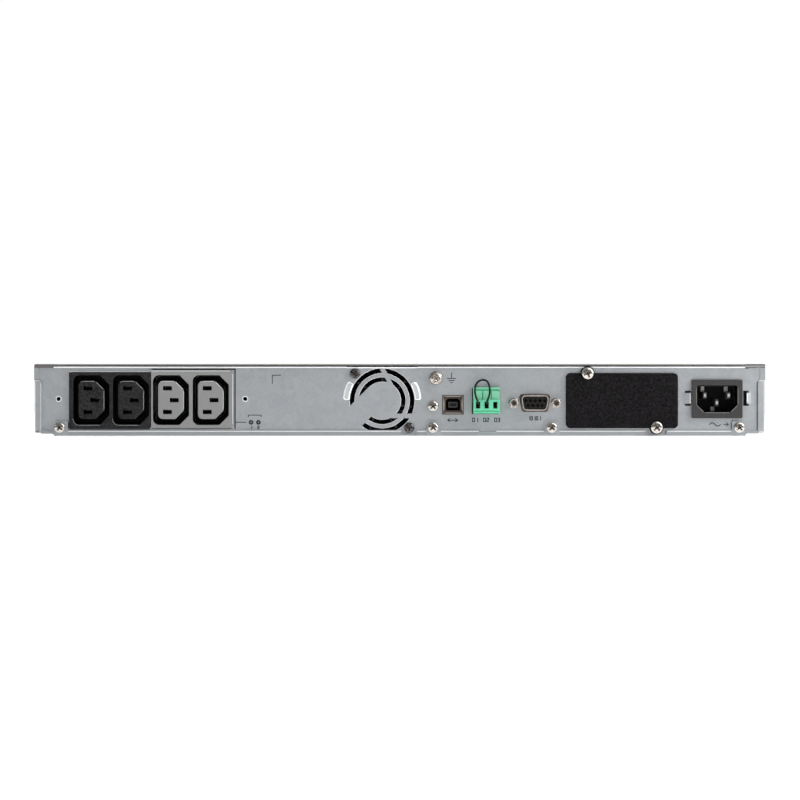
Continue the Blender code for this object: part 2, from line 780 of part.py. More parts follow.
def make_screws():
    tab_seat = REAR - GAP
    for i, place in enumerate(TAB_SCREWS):
        node(f"panel_screw_{i + 1}", screw(place, tab_seat), "nickel_plated")
    node("board_screw", screw(BOARD_SCREW, PANEL_FACE - GAP), "nickel_plated")
    for i, place in enumerate(fan_screw_places()):
        shape = screw(place, PANEL_FACE - GAP, FAN_SCREW_HEAD)
        node(f"fan_screw_{i + 1}", shape, "black_powder_coat")
    for i, place in enumerate(SLOT_SCREWS):
        shape = screw(place, SLOT_COVER_FACE - GAP, SLOT_SCREW_HEAD)
        node(f"slot_screw_{i + 1}", shape, "nickel_plated")
    for side, name in ((-1, "left"), (1, "right")):
        seat = side * (EAR_INSIDE + EAR_METAL + GAP)
        for i, y in enumerate(EAR_SCREWS_Y):
            shape = screw((y, MIDDLE_Z), seat, axis="X", direction=-side)
            node(f"ear_screw_{name}_{i + 1}", shape, "nickel_plated")


def make_earth_screw():
    """A flanged hexagon-head screw with a slotted top, for the earth lead."""
    seat = PANEL_FACE - GAP
    flange = rod(EARTH, EARTH_HEAD, seat - 1.0, seat, sides=20)
    head = rod(EARTH, EARTH_HEAD * 0.84, seat - 3.4, seat - 0.8, sides=6)
    shank = rod(EARTH, SCREW_SHANK, seat - REACH, seat + 8, sides=10)
    slot = [
        prism(centred(EARTH, size), seat - 4, seat - 2.2)
        for size in (EARTH_SLOT, EARTH_SLOT[::-1])
    ]
    return cut(joined(flange, head, shank), *slot)


# ---------------------------------------------------------------- mains side


def make_outlet_block(left, right, low, high, centres):
    """Two mains outlets in one moulding: a face on the panel and a body through it."""
    face = rounded(rectangle(left, right, low, high), 1.5)
    seat = PANEL_FACE - GAP
    body_low, body_high = OUTLET_OPENING[2] + 0.5, OUTLET_OPENING[3] - 0.5
    body = rectangle(left + 1.4, right - 1.4, body_low, body_high)
    moulding = joined(
        prism(face, OUTLET_FACE, seat),
        prism(body, seat - 0.5, OUTLET_FACE + OUTLET_BLOCK_DEEP),
    )
    floor = OUTLET_FACE + OUTLET_WELL_DEEP
    wells = []
    for x in centres:
        centre = (x, OUTLET_Z)
        well = plug_outline(centre, OUTLET_WELL, *WELL_CORNERS)
        core = plug_outline(centre, OUTLET_CORE, *CORE_CORNERS)
        wells.append(prism(well, OUTLET_FACE - REACH, floor, holes=[core]))
    moulding = cut(moulding, *wells)
    slots = []
    for x in centres:
        core = centred((x, OUTLET_Z), OUTLET_CORE)
        slots.append(prism(core, OUTLET_FACE - REACH, OUTLET_FACE + CORE_SET_BACK))
        for across, up in OUTLET_SLOT_PLACES:
            slot = centred((x + across, OUTLET_Z + up), OUTLET_SLOT)
            slots.append(prism(slot, OUTLET_FACE - REACH, OUTLET_FACE + OUTLET_SLOT_DEEP))
    return cut(moulding, *slots)


def make_mains_inlet():
    """The inlet's flange and body, open towards the lead, with a slot behind for each pin."""
    x, z = INLET
    seat = PANEL_FACE - GAP
    flange = prism(rounded(centred(INLET, INLET_FLANGE), 1.5), INLET_FACE, seat)
    body = prism(centred(INLET, INLET_BODY), seat - 0.5, INLET_BACK)
    wide, tall, corner = INLET_CAVITY[0] / 2, INLET_CAVITY[1] / 2, INLET_CUT_CORNER
    mouth = [
        (x - wide + corner, z - tall),
        (x + wide - corner, z - tall),
        (x + wide, z - tall + corner),
        (x + wide, z + tall),
        (x - wide, z + tall),
        (x - wide, z - tall + corner),
    ]
    outline = rounded(mouth, (0.6, 0.6, 0.6, 1.8, 1.8, 0.6))
    cavity = prism(outline, INLET_FACE - REACH, INLET_FACE + INLET_CAVITY_DEEP)
    slits = [
        prism(centred((x + u, z + v), (BLADE[0] + 2 * GAP, BLADE[1] + 2 * GAP)), -170, -150)
        for u, v in INLET_BLADES.values()
    ]
    return cut(joined(flange, body), cavity, *slits)


def make_inlet_pins():
    x, z = INLET
    tip, tail = INLET_FACE + BLADE_SET_BACK, INLET_BACK + BLADE_TAIL
    for name, (u, v) in INLET_BLADES.items():
        half, tall = BLADE[0] / 2, BLADE[1] / 2
        shape = [
            (x + u - half, tail),
            (x + u - half, tip + BLADE_TAPER),
            (x + u - half / 2, tip),
            (x + u + half / 2, tip),
            (x + u + half, tip + BLADE_TAPER),
            (x + u + half, tail),
        ]
        node(name, prism(shape, z + v - tall, z + v + tall, "Z"), "nickel_plated")


# ---------------------------------------------------------------- fan


def make_fan_frame():
    """A square duct with a hub on three struts, and the axle that the rotor turns on."""
    x, z = FAN
    far = FAN_BACK + FAN_DEEP
    square = rounded(centred(FAN, (FAN_SIDE, FAN_SIDE)), 2.5)
    corners = [
        (x + u * FAN_SCREW_OFF, z + v * FAN_SCREW_OFF) for u in (-1, 1) for v in (-1, 1)
    ]
    holes = [circle(place, SCREW_HOLE, 8) for place in corners]
    duct = prism(square, FAN_BACK, far, holes=[circle(FAN, FAN_BORE, 32), *holes])
    hub = rod(FAN, FAN_HUB, far - HUB_PLATE, far, sides=20)
    axle = rod(FAN, FAN_AXLE, far - 14, far - 1, sides=10)
    struts = []
    for i in range(3):
        turn = Matrix.Rotation(math.radians(90 + 120 * i), 2)
        bar = [turn @ Vector(p) for p in rectangle(FAN_HUB - 1, FAN_BORE + 0.8, -STRUT_HALF, STRUT_HALF)]
        outline = [(x + p.x, z + p.y) for p in bar]
        struts.append(prism(outline, far - HUB_PLATE, far - 0.1))
    return joined(duct, hub, axle, *struts)


def fan_blade(angle):
    """One twisted blade, from inside the hub to its tip."""
    x, z = FAN
    front, back = FAN_BACK + 1.5, FAN_BACK + 15.0
    bm = bmesh.new()
    rings = []
    for radius, lean in BLADE_LEANS:
        ring = []
        for y, swing in ((front, -lean), (back, lean)):
            for side in (-1, 1):
                turn = angle + swing + side * BLADE_THICK / 2 / radius
                place = (x + radius * math.cos(turn), y, z + radius * math.sin(turn))
                ring.append(bm.verts.new(place))
        rings.append([ring[0], ring[1], ring[3], ring[2]])
    for low, high in zip(rings, rings[1:]):
        for i in range(4):
            j = (i + 1) % 4
            bm.faces.new((low[i], low[j], high[j], high[i]))
    bm.faces.new(rings[0])
    bm.faces.new(rings[-1])
    return finished(bm)


def make_fan_rotor():
    far = FAN_BACK + ROTOR_DEEP
    hub = rod(FAN, FAN_HUB, FAN_BACK + 0.8, far, sides=24)
    blades = [fan_blade(2 * math.pi * i / FAN_BLADES) for i in range(FAN_BLADES)]
    bearing = rod(FAN, FAN_AXLE + 0.4, FAN_BACK + 5, far + REACH, sides=12)
    return cut(joined(hub, *blades), bearing)


# ---------------------------------------------------------------- connectors


def make_data_socket():
    """The square data socket: a metal shell and the moulding inside it."""
    front, back = PANEL_FACE - DATA_PROUD, PANEL_FACE + DATA_DEEP
    wide, tall = (side - 2 * SHELL_METAL for side in DATA_SHELL)
    inner = centred(DATA, (wide, tall))
    shell = prism(rounded(centred(DATA, DATA_SHELL), 1.0), front, back, holes=[inner])
    node("data_socket_shell", shell, "tin_plated")
    x, z = DATA
    half_wide, half_tall, corner = DATA_INSERT[0] / 2, DATA_INSERT[1] / 2, DATA_CUT_CORNER
    mouth = [
        (x - half_wide, z - half_tall),
        (x + half_wide, z - half_tall),
        (x + half_wide, z + half_tall - corner),
        (x + half_wide - corner, z + half_tall),
        (x - half_wide + corner, z + half_tall),
        (x - half_wide, z + half_tall - corner),
    ]
    fitted = centred(DATA, (wide - 2 * GAP, tall - 2 * GAP))
    moulding = prism(fitted, front + 0.5, back - 0.5)
    cavity = prism(mouth, front - REACH, front + 10)
    tongue = prism(centred(DATA, DATA_TONGUE), front + 1.5, front + 11)
    node("data_socket_insert", joined(cut(moulding, cavity), tongue), "black_plastic")


def jack_places():
    x, z = SERIAL
    return ((x - JACK_PITCH / 2, z), (x + JACK_PITCH / 2, z))


def make_serial_socket():
    """The nine-way D socket: metal shell, black insert and two jack screws."""
    inside = tuple(side - 2 * SHELL_METAL for side in SERIAL_SHELL)
    outside = d_outline(SERIAL, SERIAL_SHELL)
    tube = prism(outside, SERIAL_FACE, PANEL_INSIDE + 1.0, holes=[d_outline(SERIAL, inside)])
    back = PANEL_INSIDE + GAP
    holes = [circle(place, SCREW_HOLE, 10) for place in jack_places()]
    holes.append(d_outline(SERIAL, (SERIAL_SHELL[0] - 0.6, SERIAL_SHELL[1] - 0.6)))
    plate = prism(rounded(centred(SERIAL, SERIAL_PLATE), 1.5), back, back + 0.8, holes=holes)
    node("serial_shell", joined(tube, plate), "tin_plated")

    fitted = (inside[0] - 2 * GAP, inside[1] - 2 * GAP)
    moulding = prism(d_outline(SERIAL, fitted), SERIAL_FACE + 0.4, back + 9)
    x, z = SERIAL
    contacts = [(x + CONTACT_PITCH * (i - 2), z + CONTACT_ROW) for i in range(5)]
    contacts += [(x + CONTACT_PITCH * (i - 1.5), z - CONTACT_ROW) for i in range(4)]
    span = (SERIAL_FACE - REACH, SERIAL_FACE + CONTACT_DEEP)
    bores = [rod(place, CONTACT_RADIUS, *span, sides=8) for place in contacts]
    node("serial_insert", cut(moulding, *bores), "black_plastic")

    for name, place in zip(("jack_screw_left", "jack_screw_right"), jack_places()):
        seat = PANEL_FACE - GAP
        nut = rod(place, JACK_NUT, seat - JACK_NUT_TALL, seat, sides=6)
        shank = rod(place, SCREW_SHANK, seat - REACH, seat + 6, sides=10)
        bore = rod(place, JACK_BORE, seat - 6, seat - 1.6, sides=10)
        node(name, cut(joined(nut, shank), bore), "nickel_plated")


def make_signal_header():
    """The fixed half of the signal terminal, a box open towards the plug."""
    left, right = SIGNAL
    outline = rectangle(left - 0.3, right + 0.3, SIGNAL_LOW - 0.3, SIGNAL_TOP + 0.3)
    shell = prism(outline, PANEL_FACE - 0.8, PANEL_FACE + 11)
    wall = SIGNAL_WALL
    room = rectangle(left + wall, right - wall, SIGNAL_LOW + wall, SIGNAL_TOP - wall)
    return cut(shell, prism(room, PANEL_FACE - 3, PANEL_FACE + 9.5))


def make_signal_plug():
    """The pull-off half, with three wire entries below and a set-back screw block above."""
    left, right = SIGNAL
    lower = block(SIGNAL, (SIGNAL_FACE, SIGNAL_BACK), (SIGNAL_LOW, SIGNAL_STEP_Z))
    upper = block(SIGNAL, (SIGNAL_STEP_FACE, SIGNAL_BACK), (SIGNAL_STEP_Z - 1, SIGNAL_TOP))
    tongue = block(
        (left + 1.0, right - 1.0),
        (SIGNAL_SEAT + 1.0, PANEL_FACE + 7),
        (SIGNAL_LOW + 1.0, SIGNAL_TOP - 1.0),
    )
    entries = [
        prism(centred((x, SIGNAL_ENTRY_Z), SIGNAL_ENTRY), SIGNAL_FACE - REACH, SIGNAL_FACE + 8)
        for x in SIGNAL_ENTRY_X
    ]
    deep = (SIGNAL_FACE - REACH, SIGNAL_FACE + GROOVE_DEEP)
    groove = block((left - 1, right + 1), deep, SIGNAL_GROOVE_Z)
    deep = (SIGNAL_STEP_FACE - REACH, SIGNAL_STEP_FACE + GROOVE_DEEP)
    tall = (SIGNAL_STEP_Z + 0.2, SIGNAL_RIB_TOP)
    grooves = [block((x - SLIT_HALF, x + SLIT_HALF), deep, tall) for x in SIGNAL_RIBS_X]
    return cut(joined(lower, upper, tongue), groove, *entries, *grooves)


# Places that the jumper wire passes, from inside one entry to inside the next.
JUMPER_ROUTE = (
    (46.3, -184.6, 19.3),
    (46.2, -188.0, 19.3),
    (46.0, -191.4, 19.6),
    (45.6, -193.6, 20.9),
    (44.6, -194.6, 23.7),
    (44.1, -194.2, 26.6),
    (44.4, -193.4, 29.7),
    (45.6, -192.8, 31.9),
    (47.3, -192.4, 33.0),
    (49.2, -192.2, 33.3),
    (51.0, -192.4, 32.7),
    (52.2, -192.8, 30.9),
    (52.8, -193.6, 28.2),
    (52.7, -194.4, 25.4),
    (52.0, -194.6, 22.9),
    (51.3, -193.6, 20.9),
    (51.1, -191.4, 19.6),
    (51.1, -188.0, 19.3),
    (51.1, -184.6, 19.3),
)


def smooth_route(places, step):
    """Points about a step apart on a smooth curve through the places."""
    inner = [Vector(place) for place in places]
    knots = [2 * inner[0] - inner[1], *inner, 2 * inner[-1] - inner[-2]]
    fine = []
    for a, b, c, d in zip(knots, knots[1:], knots[2:], knots[3:]):
        square = 2 * a - 5 * b + 4 * c - d
        cube = 3 * b - a - 3 * c + d
        for i in range(10):
            t = i / 10
            fine.append(0.5 * (2 * b + (c - a) * t + square * t**2 + cube * t**3))
    fine.append(knots[-2])
    length = sum((b - a).length for a, b in zip(fine, fine[1:]))
    count = round(length / step)
    points, travelled = [fine[0]], 0.0
    for a, b in zip(fine, fine[1:]):
        travelled += (b - a).length
        if travelled >= len(points) * length / count and len(points) < count:
            points.append(b)
    points.append(fine[-1])
    return points


def make_jumper_wire(parent):
    curve = bpy.data.curves.new("jumper_wire", "CURVE")
    curve.dimensions = "3D"
    curve.bevel_depth = WIRE_RADIUS * MM
    curve.bevel_resolution = 3
    curve.use_fill_caps = True
    points = smooth_route(JUMPER_ROUTE, WIRE_STEP)
    spline = curve.splines.new("POLY")
    spline.points.add(len(points) - 1)
    for point, place in zip(spline.points, points):
        point.co = (*(place * MM - parent.location), 1)
    curve.materials.append(finish_of("wire_sleeve"))
    wire = bpy.data.objects.new("jumper_wire", curve)
    wire.parent = parent
    bpy.context.scene.collection.objects.link(wire)


def make_slot_cover():
    """A shallow painted lid over the card slot, with a round ear at each screw."""
    left, right, low, high = SLOT_COVER
    seat = PANEL_FACE - GAP
    plate = prism(rounded(rectangle(*SLOT_COVER), 2.4), SLOT_COVER_FACE, seat)
    ears = [rod(place, SLOT_EAR, SLOT_COVER_FACE, seat, sides=20) for place in SLOT_SCREWS]
    aside, up = SLOT_HOLLOW_EDGE
    room = rectangle(left + aside, right - aside, low + up, high - up)
    hollow = prism(rounded(room, 2), SLOT_COVER_FACE + 1, PANEL_FACE + REACH)
    holes = [rod(place, SCREW_HOLE, -190, -170, sides=10) for place in SLOT_SCREWS]
    return cut(joined(plate, *ears), hollow, *holes)


# ---------------------------------------------------------------- inside


def make_transformer():
    """An E-I core lying flat, and the winding round its middle leg."""
    left, right, rear, front = CORE
    middle = ((left + right) / 2, (rear + front) / 2)
    wide, long = WINDOW_HALF
    windows = [
        centred((middle[0] + side * (LEG_HALF + wide / 2), middle[1]), (wide, long))
        for side in (-1, 1)
    ]
    core = prism(rectangle(*CORE), *CORE_STACK, "Z", holes=windows)
    node("transformer_core", core, "lamination_steel")
    half = LEG_HALF + wide - WINDING_GAP
    low, high = WINDING_Z
    outside = rounded(rectangle(middle[0] - half, middle[0] + half, low, high), WINDING_ROUND)
    leg_wide, leg_tall = LEG_HALF + GAP, (CORE_STACK[0] - GAP, CORE_STACK[1] + GAP)
    inside = rectangle(middle[0] - leg_wide, middle[0] + leg_wide, *leg_tall)
    length = long / 2 - WINDING_GAP
    winding = prism(outside, middle[1] - length, middle[1] + length, holes=[inside])
    node("transformer_winding", winding, "copper_winding")


def make_heatsink():
    """An extruded heat sink: a foot with nine upright fins."""
    low = MAIN_BOARD_LOW + BOARD + GAP
    foot = block(HEATSINK_FOOT, HEATSINK_Y, (low, low + 4))
    tall = (low + 3, HEATSINK_TOP)
    starts = range(*HEATSINK_FOOT, HEATSINK_PITCH)
    fins = [block((x, x + FIN), HEATSINK_Y, tall) for x in starts]
    return joined(foot, *fins)


def make_boards():
    low = MAIN_BOARD_LOW
    left, right, rear, front = MAIN_BOARD
    node("main_board", block((left, right), (rear, front), (low, low + BOARD)), "circuit_board")
    left, right, rear, front = COMM_BOARD
    top = COMM_BOARD_TOP
    comm = block((left, right), (rear, front), (top - BOARD, top))
    left, right, deep = SERIAL_ROOM
    serial_room = block((left, right), (rear - REACH, rear + deep), (top - 3, top + REACH))
    node("comm_board", cut(comm, serial_room), "circuit_board")
    seat = low + BOARD + GAP
    node("heatsink", make_heatsink(), "bright_aluminium")
    radius, tall = CAPACITOR_SIZE
    can = [(0, 0), (radius, 0), (radius, tall - 0.8), (radius - 0.7, tall), (0, tall)]
    node("capacitor", turned(can, CAPACITOR, seat, "Z", 20), "battery_case")
    ring = rounded(rectangle(*CHOKE_RADII, 0, CHOKE_TALL), CHOKE_ROUND, 1)
    node("choke", turned([*ring, ring[0]], CHOKE, seat, "Z", 24), "copper_winding")


def make_drawer(parent):
    """The sliding battery tray, its two batteries, its plug and the fascia that hides it."""
    left, right, rear, front = DRAWER
    low, sheet = DRAWER_LOW, DRAWER_SHEET
    floor = block((left, right), (rear, front), (low, low + sheet))
    walls = [
        block((left, left + sheet), (rear, front), (low, DRAWER_WALL_TOP)),
        block((right - sheet, right), (rear, front), (low, DRAWER_WALL_TOP)),
        block((left, right), (rear, rear + sheet), (low, DRAWER_WALL_TOP)),
        block((left, right), (front - sheet, front), (low, DRAWER_FRONT_TOP)),
    ]
    aside, up = (PLUG_X[0] - 2, PLUG_X[1] + 2), (PLUG_Z[0] - 1, PLUG_Z[1] + 1)
    plug_hole = block(aside, (rear - REACH, rear + 2), up)
    node("battery_tray", cut(joined(floor, *walls), plug_hole), "galvanised_steel", parent)

    wide, long, tall = BATTERY
    seat = low + sheet + GAP
    start = rear + sheet + 2.0
    for name, x, facing in (
        ("battery_left", left + sheet + 0.5, 1),
        ("battery_right", right - sheet - 0.5 - wide, -1),
    ):
        case = prism(
            rounded(rectangle(x, x + wide, start, start + long), 1.5), seat, seat + tall, "Z"
        )
        end = x + wide if facing > 0 else x
        tabs = [
            block(
                tuple(sorted((end - facing, end + 5.5 * facing))),
                (start + post - BATTERY_POST_HALF, start + post + BATTERY_POST_HALF),
                (seat + BATTERY_POST_Z, seat + BATTERY_POST_Z + 1),
            )
            for post in BATTERY_POSTS[name]
        ]
        node(name, joined(case, *tabs), "battery_case", parent)

    plug = block(PLUG_X, (rear - 11, rear + 1.6), PLUG_Z)
    aside, up = PLUG_FLARE
    flare = block(
        (PLUG_X[0] - aside, PLUG_X[1] + aside),
        (rear - 1.8, rear - GAP),
        (PLUG_Z[0] - up, PLUG_Z[1] + up),
    )
    node("battery_plug", joined(plug, flare), "black_plastic", parent)
    node("drawer_fascia", make_fascia(), "black_plastic", parent)


def hollow_front(left, right):
    """A front moulding between two sides, open at the back."""
    outline = rounded(rectangle(left, right, BEZEL_LOW, BEZEL_TOP), 1.2, 2)
    room = rectangle(
        left + BEZEL_WALL, right - BEZEL_WALL, BEZEL_LOW + BEZEL_WALL, BEZEL_TOP - BEZEL_WALL
    )
    body = prism(outline, BEZEL_BACK, BEZEL_FRONT)
    return cut(body, prism(room, BEZEL_BACK - REACH, BEZEL_FRONT - BEZEL_WALL))


def make_fascia():
    """The drawer's front: three rows of air slots and a finger grip along the lower edge."""
    shell = hollow_front(-BEZEL_HALF, BEZEL_SPLIT - GAP)
    slots = []
    span = (BEZEL_FRONT - 4, BEZEL_FRONT + REACH)
    for z in AIR_SLOT_ROWS:
        for column in range(FASCIA_SLOTS):
            slots.append(air_slot(FASCIA_SLOT_START + AIR_SLOT_PITCH * column, z, span))
    grip = block(GRIP_X, (BEZEL_FRONT - 1.1, BEZEL_FRONT + REACH), (BEZEL_LOW - REACH, GRIP_TOP))
    return cut(shell, grip, *slots)


def air_slot(x, z, span):
    wide, tall = AIR_SLOT
    return prism(rounded(rectangle(x, x + wide, z, z + tall), 1.2, 1), *span)


def make_battery_socket():
    """The fixed half of the battery connector, on a foot on the floor."""
    rear = DRAWER[2]
    body = block(SOCKET_X, (rear - 22, rear - 2.4), SOCKET_Z)
    foot = block(SOCKET_FOOT_X, (rear - 22, rear - 14), (SHEET + GAP, SOCKET_Z[0] + 2))
    aside = (PLUG_X[0] - PLUG_ROOM, PLUG_X[1] + PLUG_ROOM)
    room = block(aside, (rear - 14, rear), (PLUG_Z[0] - PLUG_ROOM, PLUG_Z[1] + PLUG_ROOM))
    return cut(joined(body, foot), room)


def make_control_bezel():
    """The fixed front moulding, with openings for the display, the keys and the power button."""
    shell = hollow_front(BEZEL_SPLIT + GAP, BEZEL_HALF)
    span = (BEZEL_FRONT - 5, BEZEL_FRONT + REACH)
    openings = [prism(rounded(rectangle(*WINDOW), 2), *span)]
    for x in KEYS_X:
        size = (KEY[0] + 2 * GAP, KEY[1] + 2 * GAP)
        openings.append(prism(rounded(centred((x, KEY_Z), size), 1.2, 2), *span))
    openings.append(rod(POWER, POWER_RADIUS + GAP, *span, sides=28))
    slots = [air_slot(x, z, span) for x in (8, 25) for z in AIR_SLOT_ROWS]
    return cut(shell, *openings, *slots)


def make_controls():
    board_top = CONTROL_BOARD_Y + BOARD
    left, right, low, high = CONTROL_BOARD
    board = block((left, right), (CONTROL_BOARD_Y, board_top), (low, high))
    node("control_board", board, "circuit_board")
    left, right, low, high = WINDOW
    edge = MODULE_EDGE
    deep = (board_top + GAP, MODULE_FRONT)
    module = block((left - edge, right + edge), deep, (low - edge, high + edge))
    node("display_module", module, "display_glass")
    pane = rounded(rectangle(left + GAP, right - GAP, low + GAP, high - GAP), 1.7)
    node("display_window", prism(pane, PANE_BACK, BEZEL_FRONT - 0.5), "clear_window")
    for name, x in zip(KEY_NAMES, KEYS_X):
        axis = pivot(f"{name}_axis", x, BEZEL_FRONT, KEY_Z)
        cap = rounded(centred((x, KEY_Z), KEY), 1.0, 2)
        node(name, prism(cap, CAP_BACK, BEZEL_FRONT + KEY_PROUD), "button_plastic", axis)
    axis = pivot("power_button_axis", POWER[0], BEZEL_FRONT, POWER[1])
    rim, tall = POWER_RADIUS, BEZEL_FRONT + POWER_PROUD - CAP_BACK
    profile = [(0, 0), (rim, 0), (rim, tall - 0.6), (rim - 0.6, tall), (0, tall)]
    node("power_button", turned(profile, POWER, CAP_BACK, "Y", 28), "button_plastic", axis)


# ---------------------------------------------------------------- assembly


def build():
    clear_scene()
    node("base_pan", make_base_pan(), "galvanised_steel")
    node("top_cover", make_top_cover(), "cover_steel")
    node("rear_panel", make_rear_panel(), "galvanised_steel")
    node("front_plate", make_front_plate(), "galvanised_steel")
    ear = make_rack_ear()
    node("rack_ear_left", mirrored(ear), "black_powder_coat")
    node("rack_ear_right", ear, "black_powder_coat")
    make_screws()
    node("earth_screw", make_earth_screw(), "nickel_plated")

    for name, shape in OUTLET_BLOCKS.items():
        finish = "black_plastic" if name.endswith("black") else "grey_plastic"
        node(name, make_outlet_block(*shape), finish)
    node("mains_inlet", make_mains_inlet(), "black_plastic")
    make_inlet_pins()

    node("fan_frame", make_fan_frame(), "black_plastic")
    spin = pivot("fan_axis", FAN[0], FAN_BACK, FAN[1])
    node("fan_rotor", make_fan_rotor(), "black_plastic", spin)

    make_data_socket()
    make_serial_socket()
    node("signal_header", make_signal_header(), "green_plastic")
    pull = pivot("signal_plug_axis", SIGNAL_ENTRY_X[1], SIGNAL_SEAT, SIGNAL_ENTRY_Z)
    node("signal_plug", make_signal_plug(), "green_plastic", pull)
    make_jumper_wire(pull)
    node("slot_cover", make_slot_cover(), "black_powder_coat")

    make_transformer()
    make_boards()
    node("battery_socket", make_battery_socket(), "grey_plastic")
    slide = pivot("battery_drawer_axis", (DRAWER[0] + DRAWER[1]) / 2, DRAWER[3], DRAWER_LOW)
    make_drawer(slide)
    node("control_bezel", make_control_bezel(), "black_plastic")
    make_controls()


build()
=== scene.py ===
"""The looks of a rackmount power supply with battery backup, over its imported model.

Lengths are in millimetres, as in the model's own source, and piece() turns them into
metres. +Z is up, the connector panel faces -Y, and +X is to the right of somebody who
looks at that panel.
"""

import json
import math

import bmesh
import bpy
from mathutils import Matrix, Vector

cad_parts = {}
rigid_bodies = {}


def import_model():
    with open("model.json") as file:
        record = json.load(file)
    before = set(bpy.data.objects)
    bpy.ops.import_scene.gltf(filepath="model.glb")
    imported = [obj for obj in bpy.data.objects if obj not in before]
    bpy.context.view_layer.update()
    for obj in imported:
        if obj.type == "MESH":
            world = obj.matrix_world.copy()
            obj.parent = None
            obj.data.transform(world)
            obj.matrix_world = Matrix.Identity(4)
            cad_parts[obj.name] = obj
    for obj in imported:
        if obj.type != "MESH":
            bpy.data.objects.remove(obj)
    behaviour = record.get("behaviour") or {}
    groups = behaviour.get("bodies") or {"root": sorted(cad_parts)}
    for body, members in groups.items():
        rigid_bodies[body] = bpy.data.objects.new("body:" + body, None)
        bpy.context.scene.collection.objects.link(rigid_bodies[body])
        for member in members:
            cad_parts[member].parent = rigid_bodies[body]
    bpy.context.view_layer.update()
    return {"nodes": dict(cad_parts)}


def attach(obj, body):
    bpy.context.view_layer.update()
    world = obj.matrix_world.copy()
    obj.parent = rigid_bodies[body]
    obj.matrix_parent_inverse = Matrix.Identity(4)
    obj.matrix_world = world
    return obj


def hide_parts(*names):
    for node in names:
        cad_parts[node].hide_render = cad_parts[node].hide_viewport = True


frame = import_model()

MM = 0.001
# Between parts that would otherwise touch, and how far a cutting tool passes a face
GAP = 0.3
REACH = 1.0
# Angles between faces: what counts as an edge to round, and what is shaded as a curve
SHARP = math.radians(30)
SMOOTH_UP_TO = math.radians(32)

# Camera: how far it stands from the connector panel, and how much of that plane it sees
CAMERA_AWAY = 1500.0
CAMERA_PLACE = (0.18, 21.54)
VIEW_WIDE = 472.8

# Sheet metal
SHEET = 0.8
COVER_HALF = 216.0
COVER_TOP = 42.8
COVER_REAR = -182.0
COVER_SKIRT = 33.2
WALL_HALF = 215.6
WALL_INSET = 0.7
STEP_IN = 205.6
STEP_UP = 2.1
WALL_TOP = 41.3
REAR = -182.0
FRONT = 158.0
PANEL_FACE = -180.9
PANEL_INSIDE = -180.0
PANEL_HALF = 213.6
PANEL_LOW = 1.3
PANEL_TOP = 41.6
SEAT = PANEL_FACE - GAP
EAR_SCREWS_Y = (100.0, 138.0)
EAR_OUTSIDE = 218.0
MIDDLE_Z = 21.4
SIDES = ((-1, "left"), (1, "right"))

LIP_HEIGHT = 3.2
TAB_HEIGHT = 9.2
DIP_HEIGHT = 2.6
NOTCH_HEIGHT = 1.25
# (start, end, height) of each stretch of the rear lip, from left to right
LIP = (
    (-205.0, -196.0, TAB_HEIGHT), (-196.0, 1.2, LIP_HEIGHT), (1.2, 10.0, NOTCH_HEIGHT),
    (10.0, 16.0, LIP_HEIGHT), (16.0, 24.0, TAB_HEIGHT), (24.0, 46.9, LIP_HEIGHT),
    (46.9, 56.7, DIP_HEIGHT), (56.7, 85.5, LIP_HEIGHT), (85.5, 94.0, TAB_HEIGHT),
    (94.0, 145.6, LIP_HEIGHT), (145.6, 157.6, NOTCH_HEIGHT), (157.6, 196.2, LIP_HEIGHT),
    (196.2, 204.6, TAB_HEIGHT),
)

# (x, z) of each fastener on the panel
TAB_SCREWS = ((-200.8, 5.3), (19.7, 5.3), (89.8, 5.3), (200.5, 5.3))
BOARD_SCREW = (19.7, 17.9)
EARTH = (21.4, 34.5)
PANEL_HOLES = ((-201.6, 22.2), (-91.3, 22.2))
SCREW_HOLE = 1.8
SHANK = 1.4

OUTLET_Z = 21.5
OUTLET_FACE = -182.5
OUTLET_WELL = (21.3, 29.4)
OUTLET_CORE = (15.2, 22.4)
OUTLET_SLOTS = ((-2.1, 7.0), (-2.1, -7.0), (1.9, 0.0))

INLET = (187.4, 22.1)
INLET_FACE = -183.3
INLET_BACK = -162.0
INLET_TABS = ((167.6, 171.9), (207.2, 204.9))
INLET_TAB_OPENINGS = ((168.6, 172.0), (203.0, 206.2))
INLET_TAB_Z = (19.3, 25.8)
INLET_BLADES = {
    "inlet_pin_line": (-7.0, 2.2),
    "inlet_pin_neutral": (7.0, 2.2),
    "inlet_pin_earth": (0.0, -2.2),
}

FAN = (-10.4, 21.1)
FAN_SCREWS = ((FAN[0] - 16, FAN[1] + 16), (FAN[0] + 16, FAN[1] - 16))
VENT_RINGS = ((11.2, 13.9), (16.3, 19.2))
VENT_FLAT = -17.3

DATA = (31.5, 18.75)
DATA_SHELL = (12.2, 11.0)
SERIAL = (79.8, 19.8)
JACKS = ((SERIAL[0] - 12.5, SERIAL[1]), (SERIAL[0] + 12.5, SERIAL[1]))
SERIAL_FACE = -186.6
SERIAL_SHELL = (16.6, 8.8)
SERIAL_SLANT = 0.176
SIGNAL = (43.3, 58.8)
SIGNAL_LOW, SIGNAL_TOP = 13.6, 29.0
SIGNAL_FACE = -190.4
SIGNAL_STEP_FACE = -186.4
SIGNAL_STEP_Z = 21.6
SIGNAL_SEAT = -183.4
SIGNAL_ENTRY_X = (46.0, 51.08, 56.16)
SIGNAL_ENTRY_Z = 18.5
SIGNAL_RIBS_X = (48.8, 53.9)

SLOT_COVER = (98.2, 164.3, 4.9, 37.4)
SLOT_COVER_FACE = -183.5
SLOT_SCREWS = ((110.9, 37.2), (151.6, 5.4))

